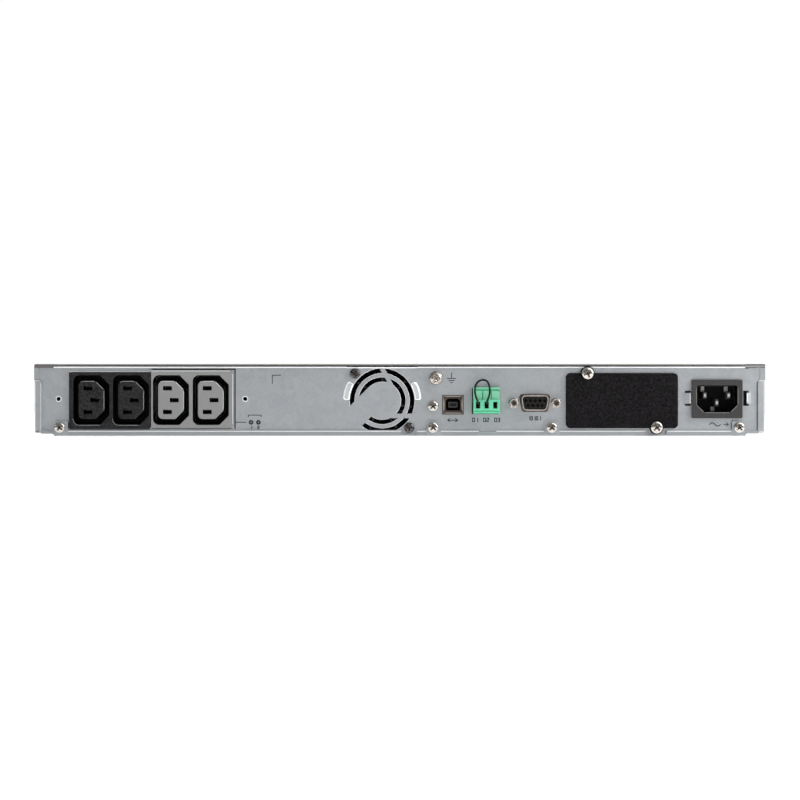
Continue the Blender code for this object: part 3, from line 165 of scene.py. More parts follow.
POWER = (197.0, 21.6)
BUTTON_ROOT = 167.5
KEYS = {"key_escape": 136.0, "key_down": 149.0, "key_up": 162.0, "key_enter": 175.0}
KEY_Z = 16.0
KEY_FACE = 182.6
BEZEL_FRONT = 182.0
DISPLAY_FACE = 176.0
DISPLAY = (60.0, 120.0, 12.4, 30.4)

# Turns a screw that looks along -Y to look along +Z
UPWARDS = Matrix.Rotation(-math.pi / 2, 4, "X")

# Places that the jumper wire passes, from inside one entry to inside the next.
JUMPER_ROUTE = (
    (46.3, -184.6, 19.3), (46.2, -188.0, 19.3), (46.0, -191.4, 19.6), (45.6, -193.6, 20.9),
    (44.6, -194.6, 23.7), (44.1, -194.2, 26.6), (44.4, -193.4, 29.7), (45.6, -192.8, 31.9),
    (47.3, -192.4, 33.0), (49.2, -192.2, 33.3), (51.0, -192.4, 32.7), (52.2, -192.8, 30.9),
    (52.8, -193.6, 28.2), (52.7, -194.4, 25.4), (52.0, -194.6, 22.9), (51.3, -193.6, 20.9),
    (51.1, -191.4, 19.6), (51.1, -188.0, 19.3), (51.1, -184.6, 19.3),
)
WIRE_RADIUS = 0.6

FLOOR_WIDE = 6000.0

# What turns an outline's (u, v, height) into (x, y, z), by the axis its height is along
AXES = {
    "X": Matrix(((0, 0, 1, 0), (1, 0, 0, 0), (0, 1, 0, 0), (0, 0, 0, 1))),
    "Y": Matrix(((1, 0, 0, 0), (0, 0, 1, 0), (0, 1, 0, 0), (0, 0, 0, 1))),
    "Z": Matrix.Identity(4),
}

# ---------------------------------------------------------------- camera


def placed(name, data):
    """A new object in the scene."""
    thing = bpy.data.objects.new(name, data)
    bpy.context.scene.collection.objects.link(thing)
    return thing


def make_camera():
    """Looks square at the connector panel, from far off."""
    data = bpy.data.cameras.new("camera")
    data.sensor_width = 36.0
    data.lens = data.sensor_width * CAMERA_AWAY / VIEW_WIDE
    camera = placed("camera", data)
    x, z = CAMERA_PLACE
    camera.location = Vector((x, PANEL_FACE - CAMERA_AWAY, z)) * MM
    camera.rotation_euler = (math.pi / 2, 0, 0)
    bpy.context.scene.camera = camera


# ---------------------------------------------------------------- outlines


def rect(left, right, low, high):
    return [(left, low), (right, low), (right, high), (left, high)]


def centred(centre, size):
    (u, v), (wide, tall) = centre, size
    return rect(u - wide / 2, u + wide / 2, v - tall / 2, v + tall / 2)


def circle(centre, radius, sides=48):
    u, v = centre
    angles = [2 * math.pi * i / sides for i in range(sides)]
    return [(u + radius * math.cos(a), v + radius * math.sin(a)) for a in angles]


def edges_of(outline):
    return list(zip(outline, outline[1:] + outline[:1]))


def rounded(corners, radii, steps=6):
    """An outline with each corner rounded; a radius of 0 keeps it sharp."""
    points = []
    for i, corner in enumerate(corners):
        here = Vector(corner)
        before = (Vector(corners[i - 1]) - here).normalized()
        after = (Vector(corners[(i + 1) % len(corners)]) - here).normalized()
        radius = radii[i] if isinstance(radii, (list, tuple)) else radii
        if not radius:
            points.append(tuple(here))
            continue
        half = before.angle(after) / 2
        middle = here + (before + after).normalized() * radius / math.sin(half)
        start = here + before * radius / math.tan(half) - middle
        end = here + after * radius / math.tan(half) - middle
        sweep = start.angle_signed(end)
        for step in range(steps + 1):
            turn = Matrix.Rotation(-sweep * step / steps, 2)
            points.append(tuple(middle + turn @ start))
    return points


def plug_outline(centre, size, radius, cut_corner):
    """Two round corners on the left and two cut ones on the right, as on a mains plug."""
    (u, v), (wide, tall) = centre, size
    left, right = u - wide / 2, u + wide / 2
    low, high = v - tall / 2, v + tall / 2
    corners = [
        (left, low), (right - cut_corner, low), (right, low + cut_corner),
        (right, high - cut_corner), (right - cut_corner, high), (left, high),
    ]
    return rounded(corners, (radius, 1.0, 1.0, 1.0, 1.0, radius))


def d_outline(centre, size, radius=1.8):
    (u, v), (wide, tall) = centre, size
    lean = tall * SERIAL_SLANT
    corners = [
        (u - wide / 2 + lean, v - tall / 2), (u + wide / 2 - lean, v - tall / 2),
        (u + wide / 2, v + tall / 2), (u - wide / 2, v + tall / 2),
    ]
    return rounded(corners, radius)


def plus_outline(arm, half, turn=0.0):
    """A cross of four arms about the origin."""
    quarter = [(arm, -half), (arm, half), (half, half)]
    points = []
    for i in range(4):
        spin = Matrix.Rotation(turn + i * math.pi / 2, 2)
        points += [tuple(spin @ Vector(p)) for p in quarter]
    return points


# ---------------------------------------------------------------- meshes


def to_mesh(bm):
    mesh = bpy.data.meshes.new("shape")
    bm.to_mesh(mesh)
    bm.free()
    return mesh


def finished(bm, matrix):
    """A transformed mesh whose faces all look outwards."""
    bm.transform(matrix)
    bmesh.ops.recalc_face_normals(bm, faces=bm.faces[:])
    if bm.calc_volume(signed=True) < 0:
        bmesh.ops.reverse_faces(bm, faces=bm.faces[:])
    return to_mesh(bm)


def loft(sections, axis="Y"):
    """A solid through (outline, height) sections that have equally many points."""
    bm = bmesh.new()
    rings = [[bm.verts.new((u, v, h)) for u, v in outline] for outline, h in sections]
    for low, high in zip(rings, rings[1:]):
        for (a, b), (c, d) in zip(edges_of(low), edges_of(high)):
            bm.faces.new((a, b, d, c))
    bm.faces.new(rings[0])
    bm.faces.new(rings[-1])
    return finished(bm, AXES[axis])


def prism(outline, low, high, axis="Y", holes=()):
    if not holes:
        return loft([(outline, low), (outline, high)], axis)
    bm = bmesh.new()
    for loop in (outline, *holes):
        ring = [bm.verts.new((u, v, low)) for u, v in loop]
        for ends in edges_of(ring):
            bm.edges.new(ends)
    bmesh.ops.triangle_fill(bm, use_beauty=True, edges=bm.edges[:])
    grown = bmesh.ops.extrude_face_region(bm, geom=bm.faces[:])["geom"]
    top = [v for v in grown if isinstance(v, bmesh.types.BMVert)]
    bmesh.ops.translate(bm, vec=(0, 0, high - low), verts=top)
    return finished(bm, AXES[axis])


def block(x, y, z):
    return prism(rect(*x, *y), *z, axis="Z")


def rod(centre, radius, low, high, axis="Y", sides=32):
    return prism(circle(centre, radius, sides), low, high, axis)


def turned(profile, centre=(0, 0), low=0.0, sides=40):
    """A profile of (radius, height) spun about a line along Y through centre."""
    bm = bmesh.new()
    line = [bm.verts.new((radius, 0, low + height)) for radius, height in profile]
    for a, b in zip(line, line[1:]):
        bm.edges.new((a, b))
    bmesh.ops.spin(
        bm, geom=bm.verts[:] + bm.edges[:], cent=(0, 0, 0), axis=(0, 0, 1), angle=2 * math.pi,
        steps=sides, use_merge=True,
    )
    bmesh.ops.remove_doubles(bm, verts=bm.verts[:], dist=1e-4)
    bmesh.ops.translate(bm, vec=(*centre, 0), verts=bm.verts[:])
    return finished(bm, AXES["Y"])


def combined(mesh, others, operation):
    """One mesh joined with the others, or cut by them."""
    tools = bpy.data.collections.new("tools")
    bpy.context.scene.collection.children.link(tools)
    body = placed("body", mesh)
    for other in others:
        tools.objects.link(bpy.data.objects.new("tool", other))
    boolean = body.modifiers.new("Boolean", "BOOLEAN")
    boolean.operation = operation
    boolean.operand_type = "COLLECTION"
    boolean.collection = tools
    graph = bpy.context.evaluated_depsgraph_get()
    result = bpy.data.meshes.new_from_object(body.evaluated_get(graph))
    for helper in [body, *tools.objects]:
        bpy.data.objects.remove(helper)
    bpy.data.collections.remove(tools)
    return result


def joined(mesh, *others):
    return combined(mesh, others, "UNION")


def cut(mesh, *others):
    return combined(mesh, others, "DIFFERENCE")


def merged(meshes):
    """Several meshes as one, without joining their solids."""
    bm = bmesh.new()
    for mesh in meshes:
        bm.from_mesh(mesh)
    return to_mesh(bm)


def moved(mesh, *matrices):
    """The same mesh, after each matrix in turn."""
    for matrix in matrices:
        mesh.transform(matrix)
    return mesh


def mirrored(mesh):
    """A copy of a mesh on the other side of the middle."""
    bm = bmesh.new()
    bm.from_mesh(mesh)
    return finished(bm, Matrix.Scale(-1, 4, (1, 0, 0)))


def round_edges(mesh, chosen, width):
    """Rounds the sharp edges whose two ends both pass the test."""
    bm = bmesh.new()
    bm.from_mesh(mesh)
    bmesh.ops.dissolve_degenerate(bm, dist=1e-4, edges=bm.edges[:])
    edges = [
        e
        for e in bm.edges
        if all(chosen(v.co) for v in e.verts) and e.calc_face_angle(0) > SHARP
    ]
    bmesh.ops.bevel(
        bm, geom=edges, offset=width, segments=5, profile=0.5, affect="EDGES", clamp_overlap=False,
        loop_slide=False,
    )
    return to_mesh(bm)


# ---------------------------------------------------------------- materials


def fill(node, **sockets):
    """Sets a node's own input values; a name's underscores stand for spaces."""
    for socket, value in sockets.items():
        node.inputs[socket.replace("_", " ")].default_value = value


STRETCHES = {"lines_x": (0.03, 1, 1), "lines_z": (1, 1, 0.03), "layers": (0.02, 0.02, 1)}


def pattern(tree, place, kind, scale):
    """The output of a pattern of a kind, with so many repeats per metre."""
    nodes, links = tree.nodes, tree.links
    if kind in ("cells", "domes"):
        texture = nodes.new("ShaderNodeTexVoronoi")
        output = "Distance" if kind == "domes" else "Color"
    else:
        texture = nodes.new("ShaderNodeTexNoise")
        fill(texture, Detail=4.0, Roughness=0.6)
        output = "Fac"
    fill(texture, Scale=scale)
    if kind in STRETCHES:
        stretch = nodes.new("ShaderNodeMapping")
        fill(stretch, Scale=STRETCHES[kind])
        links.new(place, stretch.inputs["Vector"])
        place = stretch.outputs["Vector"]
    links.new(place, texture.inputs["Vector"])
    value = texture.outputs[output]
    if kind == "cells":
        split = nodes.new("ShaderNodeSeparateColor")
        links.new(value, split.inputs[0])
        value = split.outputs[0]
    return value


def varied(tree, place, start, text):
    """start plus each layer in a text of "pattern repeats amount, pattern repeats amount"."""
    layers = [layer.split() for layer in text.split(", ")]
    total = start - sum(float(amount) for *_, amount in layers)
    for kind, scale, amount in layers:
        step = tree.nodes.new("ShaderNodeMath")
        step.operation = "MULTIPLY_ADD"
        tree.links.new(pattern(tree, place, kind, float(scale)), step.inputs[0])
        step.inputs[1].default_value = 2 * float(amount)
        if isinstance(total, float):
            step.inputs[2].default_value = total
        else:
            tree.links.new(total, step.inputs[2])
        total = step.outputs[0]
    return total


GRAIN = "noise 900 0.05, noise 120 0.04"
SURFACES = {}


def surface(name, colour, roughness, metallic=0.0, tones=GRAIN, roughs="", bumps="", **sockets):
    """A Principled material whose colour, roughness and height follow patterns.

    tones, roughs and bumps are texts for varied(): each layer's pattern, its repeats per
    metre, and how far it swings either way, which is in mm for a bump.
    """
    material = SURFACES[name] = bpy.data.materials.new(name)
    material.use_nodes = True
    tree = material.node_tree
    shader = tree.nodes["Principled BSDF"]
    place = tree.nodes.new("ShaderNodeTexCoord").outputs["Object"]
    fill(shader, Base_Color=(*colour, 1), Roughness=roughness, Metallic=metallic, **sockets)
    if tones:
        scaled = tree.nodes.new("ShaderNodeVectorMath")
        scaled.operation = "SCALE"
        scaled.inputs[0].default_value = colour
        tree.links.new(varied(tree, place, 1.0, tones), scaled.inputs["Scale"])
        tree.links.new(scaled.outputs[0], shader.inputs["Base Color"])
    if roughs:
        tree.links.new(varied(tree, place, roughness, roughs), shader.inputs["Roughness"])
    if bumps:
        bump = tree.nodes.new("ShaderNodeBump")
        fill(bump, Distance=MM)
        tree.links.new(varied(tree, place, 0.0, bumps), bump.inputs["Height"])
        tree.links.new(bump.outputs[0], shader.inputs["Normal"])
    material.diffuse_color = (*colour, 1)
    return material


surface("galvanised_steel", (0.366, 0.382, 0.397), 0.44, 0.7,
        tones="cells 230 0.04, noise 45 0.04, noise 800 0.13",
        roughs="cells 210 0.03, noise 500 0.05", bumps="noise 900 0.004")
surface("cover_steel", (0.135, 0.125, 0.12), 0.58, 0.35, tones="noise 1400 0.1, noise 60 0.05",
        roughs="noise 300 0.06", bumps="domes 1500 0.01")
surface("black_powder_coat", (0.0088, 0.008, 0.0088), 0.6, tones="cells 1400 0.7",
        roughs="noise 900 0.1", bumps="noise 900 0.08, domes 1100 0.05", Specular_IOR_Level=0.05)
surface("black_screw", (0.085, 0.085, 0.09), 0.14, 0.9, tones="cells 1300 0.9",
        roughs="noise 900 0.05", bumps="noise 900 0.2")
surface("nickel_screw", (0.56, 0.525, 0.485), 0.2, 1.0, tones="noise 500 0.05, noise 1800 0.05",
        roughs="noise 900 0.06", bumps="noise 1200 0.004")
surface("nickel_pin", (0.52, 0.5, 0.48), 0.3, 1.0, tones="noise 900 0.05",
        roughs="lines_x 900 0.06", bumps="noise 1500 0.003")
surface("tin_plated", (0.62, 0.57, 0.53), 0.24, 1.0, tones="noise 400 0.07, noise 1500 0.05",
        roughs="noise 600 0.07", bumps="noise 1000 0.004")
surface("outlet_black", (0.0145, 0.0145, 0.0155), 0.45, tones="cells 1100 0.7, noise 200 0.06",
        roughs="noise 900 0.06", bumps="noise 1000 0.03", Specular_IOR_Level=0.2)
surface("outlet_grey", (0.226, 0.227, 0.225), 0.42, tones="noise 900 0.07, noise 120 0.02",
        roughs="noise 900 0.06", bumps="noise 1600 0.006")
surface("connector_black", (0.024, 0.0225, 0.0225), 0.4, tones="noise 1600 0.15, noise 250 0.08",
        roughs="noise 900 0.08", bumps="noise 1500 0.008")
surface("fan_plastic", (0.016, 0.016, 0.017), 0.28, tones="noise 600 0.1", roughs="noise 700 0.06",
        bumps="noise 900 0.006")
surface("signal_green", (0.12, 0.55, 0.32), 0.36, tones="noise 900 0.04", roughs="noise 900 0.05",
        bumps="noise 1500 0.004")
surface("wire_sleeve", (0.009, 0.0095, 0.009), 0.5, tones="noise 900 0.15",
        roughs="noise 900 0.06", bumps="noise 1600 0.006", Specular_IOR_Level=0.2)
surface("front_plastic", (0.026, 0.026, 0.028), 0.6, tones="noise 1500 0.12, noise 60 0.04",
        roughs="noise 900 0.07", bumps="domes 1500 0.022, noise 2200 0.008",
        Specular_IOR_Level=0.25)
surface("button_plastic", (0.19, 0.19, 0.2), 0.38, tones="noise 1500 0.05",
        roughs="noise 900 0.06", bumps="noise 1800 0.005")
surface("display_glass", (0.012, 0.035, 0.055), 0.18, tones="lines_x 2500 0.15",
        roughs="noise 300 0.04")
surface("clear_window", (0.02, 0.025, 0.03), 0.06, tones="", roughs="noise 60 0.02", Alpha=0.25)
surface("circuit_board", (0.018, 0.12, 0.045), 0.38, tones="cells 420 0.2, noise 900 0.1",
        roughs="noise 500 0.08", bumps="cells 420 0.01")
surface("heatsink_aluminium", (0.74, 0.75, 0.76), 0.34, 1.0, tones="lines_z 900 0.05",
        roughs="lines_z 900 0.08")
surface("lamination_steel", (0.11, 0.1, 0.1), 0.42, 0.8, tones="layers 1400 0.35, noise 200 0.1",
        roughs="noise 400 0.1", bumps="layers 1400 0.04")
surface("winding", (0.42, 0.19, 0.045), 0.35, tones="noise 500 0.12", roughs="noise 400 0.08",
        bumps="lines_x 900 0.04")
surface("battery_case", (0.036, 0.036, 0.04), 0.6, tones="noise 900 0.1, noise 60 0.08",
        roughs="noise 500 0.08", bumps="noise 1400 0.01", Specular_IOR_Level=0.3)
surface("socket_grey", (0.33, 0.33, 0.34), 0.42, tones="noise 900 0.04", roughs="noise 700 0.06",
        bumps="noise 1500 0.006")

# Finishes that only small visible details have, many of them painted highlights and painted shade
INK = surface("printed_ink", (0.01, 0.011, 0.012), 0.6, bumps="noise 1500 0.002")
FRONT_INK = surface("pad_print", (0.75, 0.76, 0.78), 0.5)
# Painted shade: near black for the insides of wells, holes, cavities and shells, and behind gaps
SHADE_BLACK = surface("painted_shade_black", (0.0025, 0.0025, 0.003), 0.6, bumps="noise 1500 0.006",
        Specular_IOR_Level=0.15)
# Painted shade, dark brown, in screw recesses and bores, under nuts and on the earth screw's
# flange rim
RECESS_SHADE = surface("painted_recess_shade", (0.155, 0.12, 0.1), 0.4, 0.1, tones="noise 1600 0.5",
        bumps="noise 1500 0.004")
# Plating darkened as painted shade, for contacts, blades and clamps deep inside their sockets
SHADED_PLATE = surface("plate_in_painted_shade", (0.12, 0.115, 0.11), 0.5, 0.6)
# Painted highlights on the outlet mouldings' edges, on the black one and on the grey one
BLACK_EDGE_HIGHLIGHT = surface("painted_highlight_on_black", (0.3, 0.3, 0.3), 0.4)
GREY_EDGE_HIGHLIGHT = surface("painted_highlight_on_grey", (0.62, 0.62, 0.61), 0.4)
# A darker brown tin, for the data shell and for the D shell's foot and front rim
BROWN_TIN = surface("brown_tin", (0.2, 0.165, 0.145), 0.4, 0.7, roughs="noise 800 0.08")
# Painted highlight, glowing faintly, for the panel's top bend, the pads' sloped sides and the
# slots' mouths
PAINTED_HIGHLIGHT = surface("painted_highlight", (0.9, 0.91, 0.92), 0.35, 0.1, Emission_Color=(1, 1, 1, 1),
        Emission_Strength=0.12)
# Painted highlights along sheet-metal edges that face the light, and on the inlet tabs' tips
EDGE_HIGHLIGHT = surface("painted_edge_highlight", (0.7, 0.71, 0.72), 0.4, 0.2)
COVER_EDGE = surface("cover_cut_edge", (0.25, 0.238, 0.228), 0.5, 0.2)
COVER_DARK = surface("cover_shadow", (0.1, 0.095, 0.09), 0.5, 0.2)
# Painted highlights on the data shell's springs
SPRING_HIGHLIGHT = surface("painted_spring_highlight", (0.42, 0.37, 0.33), 0.35, 0.6)
# Painted shade inside the D socket's contact holes
BORE_SHADE = surface("painted_bore_shade", (0.0012, 0.0011, 0.001), 0.7, Specular_IOR_Level=0.05)
# Painted shade on the data shell's inner fold
FOLD_SHADE = surface("shell_fold_shade", (0.06, 0.048, 0.041), 0.45, 0.5)
SHADOW_LINE = surface("edge_shadow", (0.085, 0.088, 0.092), 0.6)
PLUG_FACE = surface("serial_face", (0.013, 0.012, 0.0115), 0.45, Specular_IOR_Level=0.1)
BLADE_FOOT = surface("blade_foot", (0.6, 0.58, 0.56), 0.45, 0.2)
# A dim painted highlight along the inlet's inner edge
DIM_EDGE_HIGHLIGHT = surface("painted_dim_highlight", (0.2, 0.198, 0.195), 0.4)
PAD_TOP = surface("pad_top", (0.5, 0.51, 0.52), 0.45, 0.3)
# Painted shade, darker than the panel, on the base pan's rear lip
PAINTED_LIP_SHADE = surface("painted_lip_shade", (0.315, 0.327, 0.34), 0.44, 0.6)
PALE_GREEN = surface("pale_green", (0.2, 0.53, 0.345), 0.36)
# Painted highlights on the small holes' collars and along the edge above the black moulding
RIM_HIGHLIGHT = surface("painted_rim_highlight", (0.82, 0.82, 0.8), 0.4, 0.1)
LAMP_GREEN = surface("lamp_green", (0.05, 0.5, 0.12), 0.25, Emission_Color=(0.1, 1.0, 0.25, 1),
        Emission_Strength=0.5)
LAMP_AMBER = surface("lamp_amber", (0.5, 0.22, 0.03), 0.25)
GLYPH = surface("display_glyph", (0.5, 0.8, 0.9), 0.4, Emission_Color=(0.45, 0.85, 1.0, 1),
        Emission_Strength=0.7)


# ---------------------------------------------------------------- pieces


def soften(thing, width, segments):
    """Rounds a piece's edges by a width in mm."""
    bevel = thing.modifiers.new("Bevel", "BEVEL")
    bevel.width = width * MM
    bevel.segments = segments
    bevel.limit_method = "ANGLE"
    bevel.angle_limit = SMOOTH_UP_TO
    bevel.use_clamp_overlap = False
    bevel.loop_slide = False
    bevel.harden_normals = True
    bevel.material = 0


def piece(
    name, mesh, finish, body="chassis", stands_for="", bevel=0.0, segments=2, slot="", second=None,
    where=None,
):
    """Puts a mesh in mm into the scene, riding on a body, in place of a CAD node.

    finish is the name of a surface, or a material; slot is not used. Faces whose middle
    passes where() get the second material.
    """
    mesh.name = name
    mesh.shade_smooth()
    mesh.materials.clear()
    mesh.materials.append(SURFACES[finish] if isinstance(finish, str) else finish)
    if second:
        mesh.materials.append(second)
        for face in mesh.polygons:
            face.material_index = int(where(face.center))
    mesh.transform(Matrix.Scale(MM, 4))
    thing = placed(name, mesh)
    if bevel:
        soften(thing, bevel, segments)
    else:
        mesh.set_sharp_from_angle(angle=SMOOTH_UP_TO)
    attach(thing, body)
    if stands_for:
        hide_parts(stands_for)
    slot = slot or (finish if isinstance(finish, str) else "")
    return thing


def carry(node, finish, bevel):
    """A CAD node that keeps its shape gets its finish and softer edges."""
    thing = frame["nodes"][node]
    for material_slot in thing.material_slots:
        material_slot.link = "OBJECT"
        material_slot.material = SURFACES[finish]
    weld = thing.modifiers.new("Weld", "WELD")
    weld.merge_threshold = 1e-5
    soften(thing, bevel, segments=2)


# ---------------------------------------------------------------- sheet metal


def sheet_profile(half_profile, radii):
    """A symmetric open channel's outline, from the corners of its right half."""
    corners = half_profile + [(-u, v) for u, v in reversed(half_profile)]
    return rounded(corners, list(radii) + list(reversed(radii)), 4)


def make_base():
    """The pan with its rear lip and flanges, painted highlights and shadows along its cut edges,
    and painted shade on its lip.
    """
    inner = WALL_HALF - SHEET
    slope = SHEET * math.tan(math.radians(22.5))
    half = [
        (STEP_IN - STEP_UP, 0), (STEP_IN, STEP_UP), (WALL_HALF, STEP_UP),
        (WALL_HALF, COVER_SKIRT - 1.0), (WALL_HALF - WALL_INSET, COVER_SKIRT - 0.3),
        (WALL_HALF - WALL_INSET, WALL_TOP), (inner - WALL_INSET, WALL_TOP),
        (inner - WALL_INSET, COVER_SKIRT - 0.6), (inner, COVER_SKIRT - 1.3),
        (inner, STEP_UP + SHEET), (STEP_IN - slope, STEP_UP + SHEET),
        (STEP_IN - STEP_UP - slope, SHEET),
    ]
    radii = (0.9, 0.4, 1.1, 0.5, 0.3, 0, 0, 0.2, 0.2, 0.4, 0.7, 0.3)
    pan = prism(sheet_profile(half, radii), REAR, FRONT)
    corner = block((208, 218), (REAR - REACH, PANEL_INSIDE + GAP), (33.1, 50))
    holes = [circle(place, SCREW_HOLE) for place in TAB_SCREWS]
    lip = prism(lip_outline(), REAR, REAR + SHEET, holes=holes)
    flange = rounded(rect(211.7, WALL_HALF - 0.1, STEP_UP + 0.4, 33.1), (0, 0, 0, 1.8))
    flange = prism(flange, REAR, REAR + SHEET)
    sill = block((203.0, 212.0), (REAR + 0.3, REAR + SHEET), (1.6, 3.7))
    posts = [rod((x, y), 3.0, 0.4, 4.1, "Z") for x in (14, 198) for y in (-96, 142)]
    posts += [rod((x, y), 3.0, 0.4, 11.2, "Z") for x in (27, 92) for y in (-158, -118)]
    pan = cut(pan, corner.copy(), mirrored(corner))
    pan = joined(pan, lip, flange.copy(), mirrored(flange), sill.copy(), mirrored(sill), *posts)
    vents = []
    for i in range(8):
        y = -10 - 9 * i
        slot = rounded(rect(y - 1.5, y + 1.5, 10, 28), 1.45, 5)
        vents += [prism(slot, side - 3, side + 3, "X") for side in (-215, 215)]
    holes = [rod((y, MIDDLE_Z), SCREW_HOLE, -222, 222, "X") for y in EAR_SCREWS_Y]
    pan = cut(pan, *vents, *holes)
    piece("base_pan_sheet", pan, "galvanised_steel", stands_for="base_pan")
    # Painted highlights along the flanges' edges, the lip's top edges and the pan's bottom bend
    edge = REAR - 0.04, REAR + 0.04
    path = [(-215.4, 32.95), (-212.9, 32.95), (-212.2, 32.6), (-211.9, 31.9), (-211.9, 3.2)]
    bright = strokes(list(zip(path, path[1:])), 0.38, edge)
    bright += strokes([((-215.3, 31.5), (-215.3, 3.2)), ((215.2, 32.4), (215.2, 3.2)),
                       ((212.4, 32.9), (215.1, 32.9)), ((212.4, 2.75), (215.1, 2.75)),
                       ((-203.0, 0.35), (203.0, 0.35))], 0.4, edge)
    for start, end, height in LIP:
        if height == LIP_HEIGHT:
            line = (start + 0.6, height - 0.07), (end - 0.6, height - 0.07)
            bright += strokes([line], 0.58, edge)
    piece("pan_edge_highlights", merged(bright), EDGE_HIGHLIGHT, slot="galvanised_steel")
    # Painted shadow lines in the gaps beside the flange, tabs and notches, and at a nick in the
    # corner
    dark = [
        ((211.25, 32.4), (211.25, 3.4)), ((157.2, 1.6), (157.2, 2.9)),
        ((157.5, 3.1), (159.0, 3.45)), ((156.9, 0.5), (156.9, 1.3)),
        ((195.9, 4.6), (195.9, 8.2)), ((-195.7, 4.6), (-195.7, 8.0)), ((196.6, 9.3), (199.0, 9.3)),
    ]
    line_piece("pan_edge_shadows", dark, 0.4, (PANEL_FACE - 0.10, PANEL_FACE - 0.02),
               SHADOW_LINE, slot="galvanised_steel")
    line_piece("pan_corner_nick_shadow", [((-213.9, 3.1), (-213.6, 2.9))], 0.7, edge,
               SHADOW_LINE, slot="galvanised_steel")
    # Painted shade on the rear lip, which sits darker than the panel above it
    shade = [
        block((start + 0.3, end - 0.3), (REAR - 0.02, REAR + 0.1), (0.7, height - 0.5))
        for start, end, height in LIP if height in (LIP_HEIGHT, DIP_HEIGHT)
    ]
    piece("pan_lip_shade", merged(shade), PAINTED_LIP_SHADE, slot="galvanised_steel")


def lip_outline():
    """The rear lip, whose top edge rises to a tab at each screw."""
    top, radii = [], []
    for start, end, height in LIP:
        top += [(start, height), (end, height)]
        raised = 1.2 if height == TAB_HEIGHT else 0.5
        radii += [raised, raised]
    outline = [(-203.5, 0.0), (203.5, 0.0), *reversed(top)]
    return rounded(outline, [0, 0, *reversed(radii)], 5)


def make_cover():
    """The lid, its hems beside the panel, the tabs at its rear corners, and its screws."""
    inner = COVER_HALF - SHEET
    half = [
        (COVER_HALF, COVER_TOP), (COVER_HALF, COVER_SKIRT), (inner, COVER_SKIRT),
        (inner, COVER_TOP - SHEET),
    ]
    lid = prism(sheet_profile(half, (1.2, 0.2, 0.2, 0.5)), COVER_REAR, FRONT)
    rear = COVER_REAR, PANEL_FACE - GAP
    corners = [block((204.3, 220), (-190, PANEL_FACE - 0.1), (COVER_SKIRT - 1, 42.45))]
    corners.append(mirrored(corners[0]))
    piece("top_cover_sheet", cut(lid, *corners), "cover_steel", stands_for="top_cover",
          second=COVER_EDGE, where=lambda p: p.y < PANEL_FACE - 1.05)
    close = PANEL_FACE - 0.34, PANEL_FACE - 0.04
    hem = block((213.0, COVER_HALF - 0.15), close, (COVER_SKIRT + 0.1, 40.6))
    piece("cover_hem_left", mirrored(hem), "galvanised_steel", slot="cover_steel")
    piece("cover_hem_right", hem, "galvanised_steel", slot="cover_steel")
    tab = block((-COVER_HALF + 0.2, -204.5), rear, (40.5, 42.4))
    piece("cover_tab_left", tab, "cover_steel", bevel=0.12)
    tab = block((204.5, COVER_HALF - 0.3), close, (40.9, 42.0))
    piece("cover_tab_right", tab, "galvanised_steel", slot="cover_steel")
    # Painted shadow in the gaps at the right rear corner and along the lid's rear edge above the
    # tab
    gaps = strokes([((204.4, 40.65), (COVER_HALF - 0.4, 40.9)), ((204.4, 40.3), (206.0, 40.3))],
                   0.5, (PANEL_FACE - 0.42, PANEL_FACE - 0.03))
    rim = block((204.3, COVER_HALF - 0.1), rear, (42.1, 42.6))
    piece("cover_tab_gap", merged([*gaps, rim]), COVER_DARK, slot="cover_steel")
    for side, word in SIDES:
        for i, y in enumerate((-150.0, -10.0, 130.0)):
            head = screw_shape(3.0, 0.5 + i, deep=0.2, rim=0.05, dome=0.16)
            moved(head, UPWARDS)
            piece(f"cover_screw_{word}_{i + 1}", put(head, side * 206.0, y, COVER_TOP),
                  "black_screw", slot="cover_steel")


def vent_slots():
    """Two rings about the fan's middle, left solid where a bar crosses them."""
    bars = (
        [(-2.59, 21.0), (0.56, 21.0), (6.87, 9.0), (4.20, 9.0)], rect(0.0, 21.0, -10.35, -7.63),
        [(-7.97, 7.97), (-24.0, -8.05), (-24.0, -27.0), (1.5, -1.5)],
        rect(-22.0, 22.0, -22.0, VENT_FLAT),
    )
    slots = []
    for inner, outer in VENT_RINGS:
        profile = [
            (inner - 0.3, -0.15), (outer + 0.3, -0.15), (outer, 0.2), (outer, 2), (inner, 2),
            (inner, 0.2), (inner - 0.3, -0.15),
        ]
        ring = turned(profile, FAN, PANEL_FACE, sides=128)
        solid = [
            prism([(FAN[0] + u, FAN[1] + v) for u, v in bar], PANEL_FACE - 2, PANEL_FACE + 4)
            for bar in bars
        ]
        slots.append(cut(ring, *solid))
    return slots


def vent_pad(side, levels=((1.2, 0.3), (0.0, -0.55))):
    """A raised pad that follows the vent's rim, on one side of it."""
    sections = []
    for grow, out in levels:
        points = []
        for i in range(17):
            angle = math.radians(2.5 + 26.5 * i / 16 + 1.6 * grow * (i / 8 - 1))
            near_end = max(0.0, abs(i / 8 - 1) - 0.8) * 5
            points.append((22.3 + grow - 0.9 * near_end**2, angle))
        points += [(19.9 - grow, angle) for _, angle in reversed(points)]
        outline = [
            (FAN[0] + side * radius * math.cos(a), FAN[1] + radius * math.sin(a))
            for radius, a in points
        ]
        sections.append((outline, PANEL_FACE + out))
    return loft(sections)


def gets_painted_highlight(point):
    """Whether a point is on the raised pads' sloped sides or the slots' flared mouths, which get a
    painted highlight.
    """
    x, y, z = point
    reach = math.dist((x, z), FAN)
    if reach < 24.5 and PANEL_FACE - 0.5 < y < PANEL_FACE - 0.02:
        return True
    return reach < 19.6 and PANEL_FACE + 0.02 < y < PANEL_FACE + 0.24


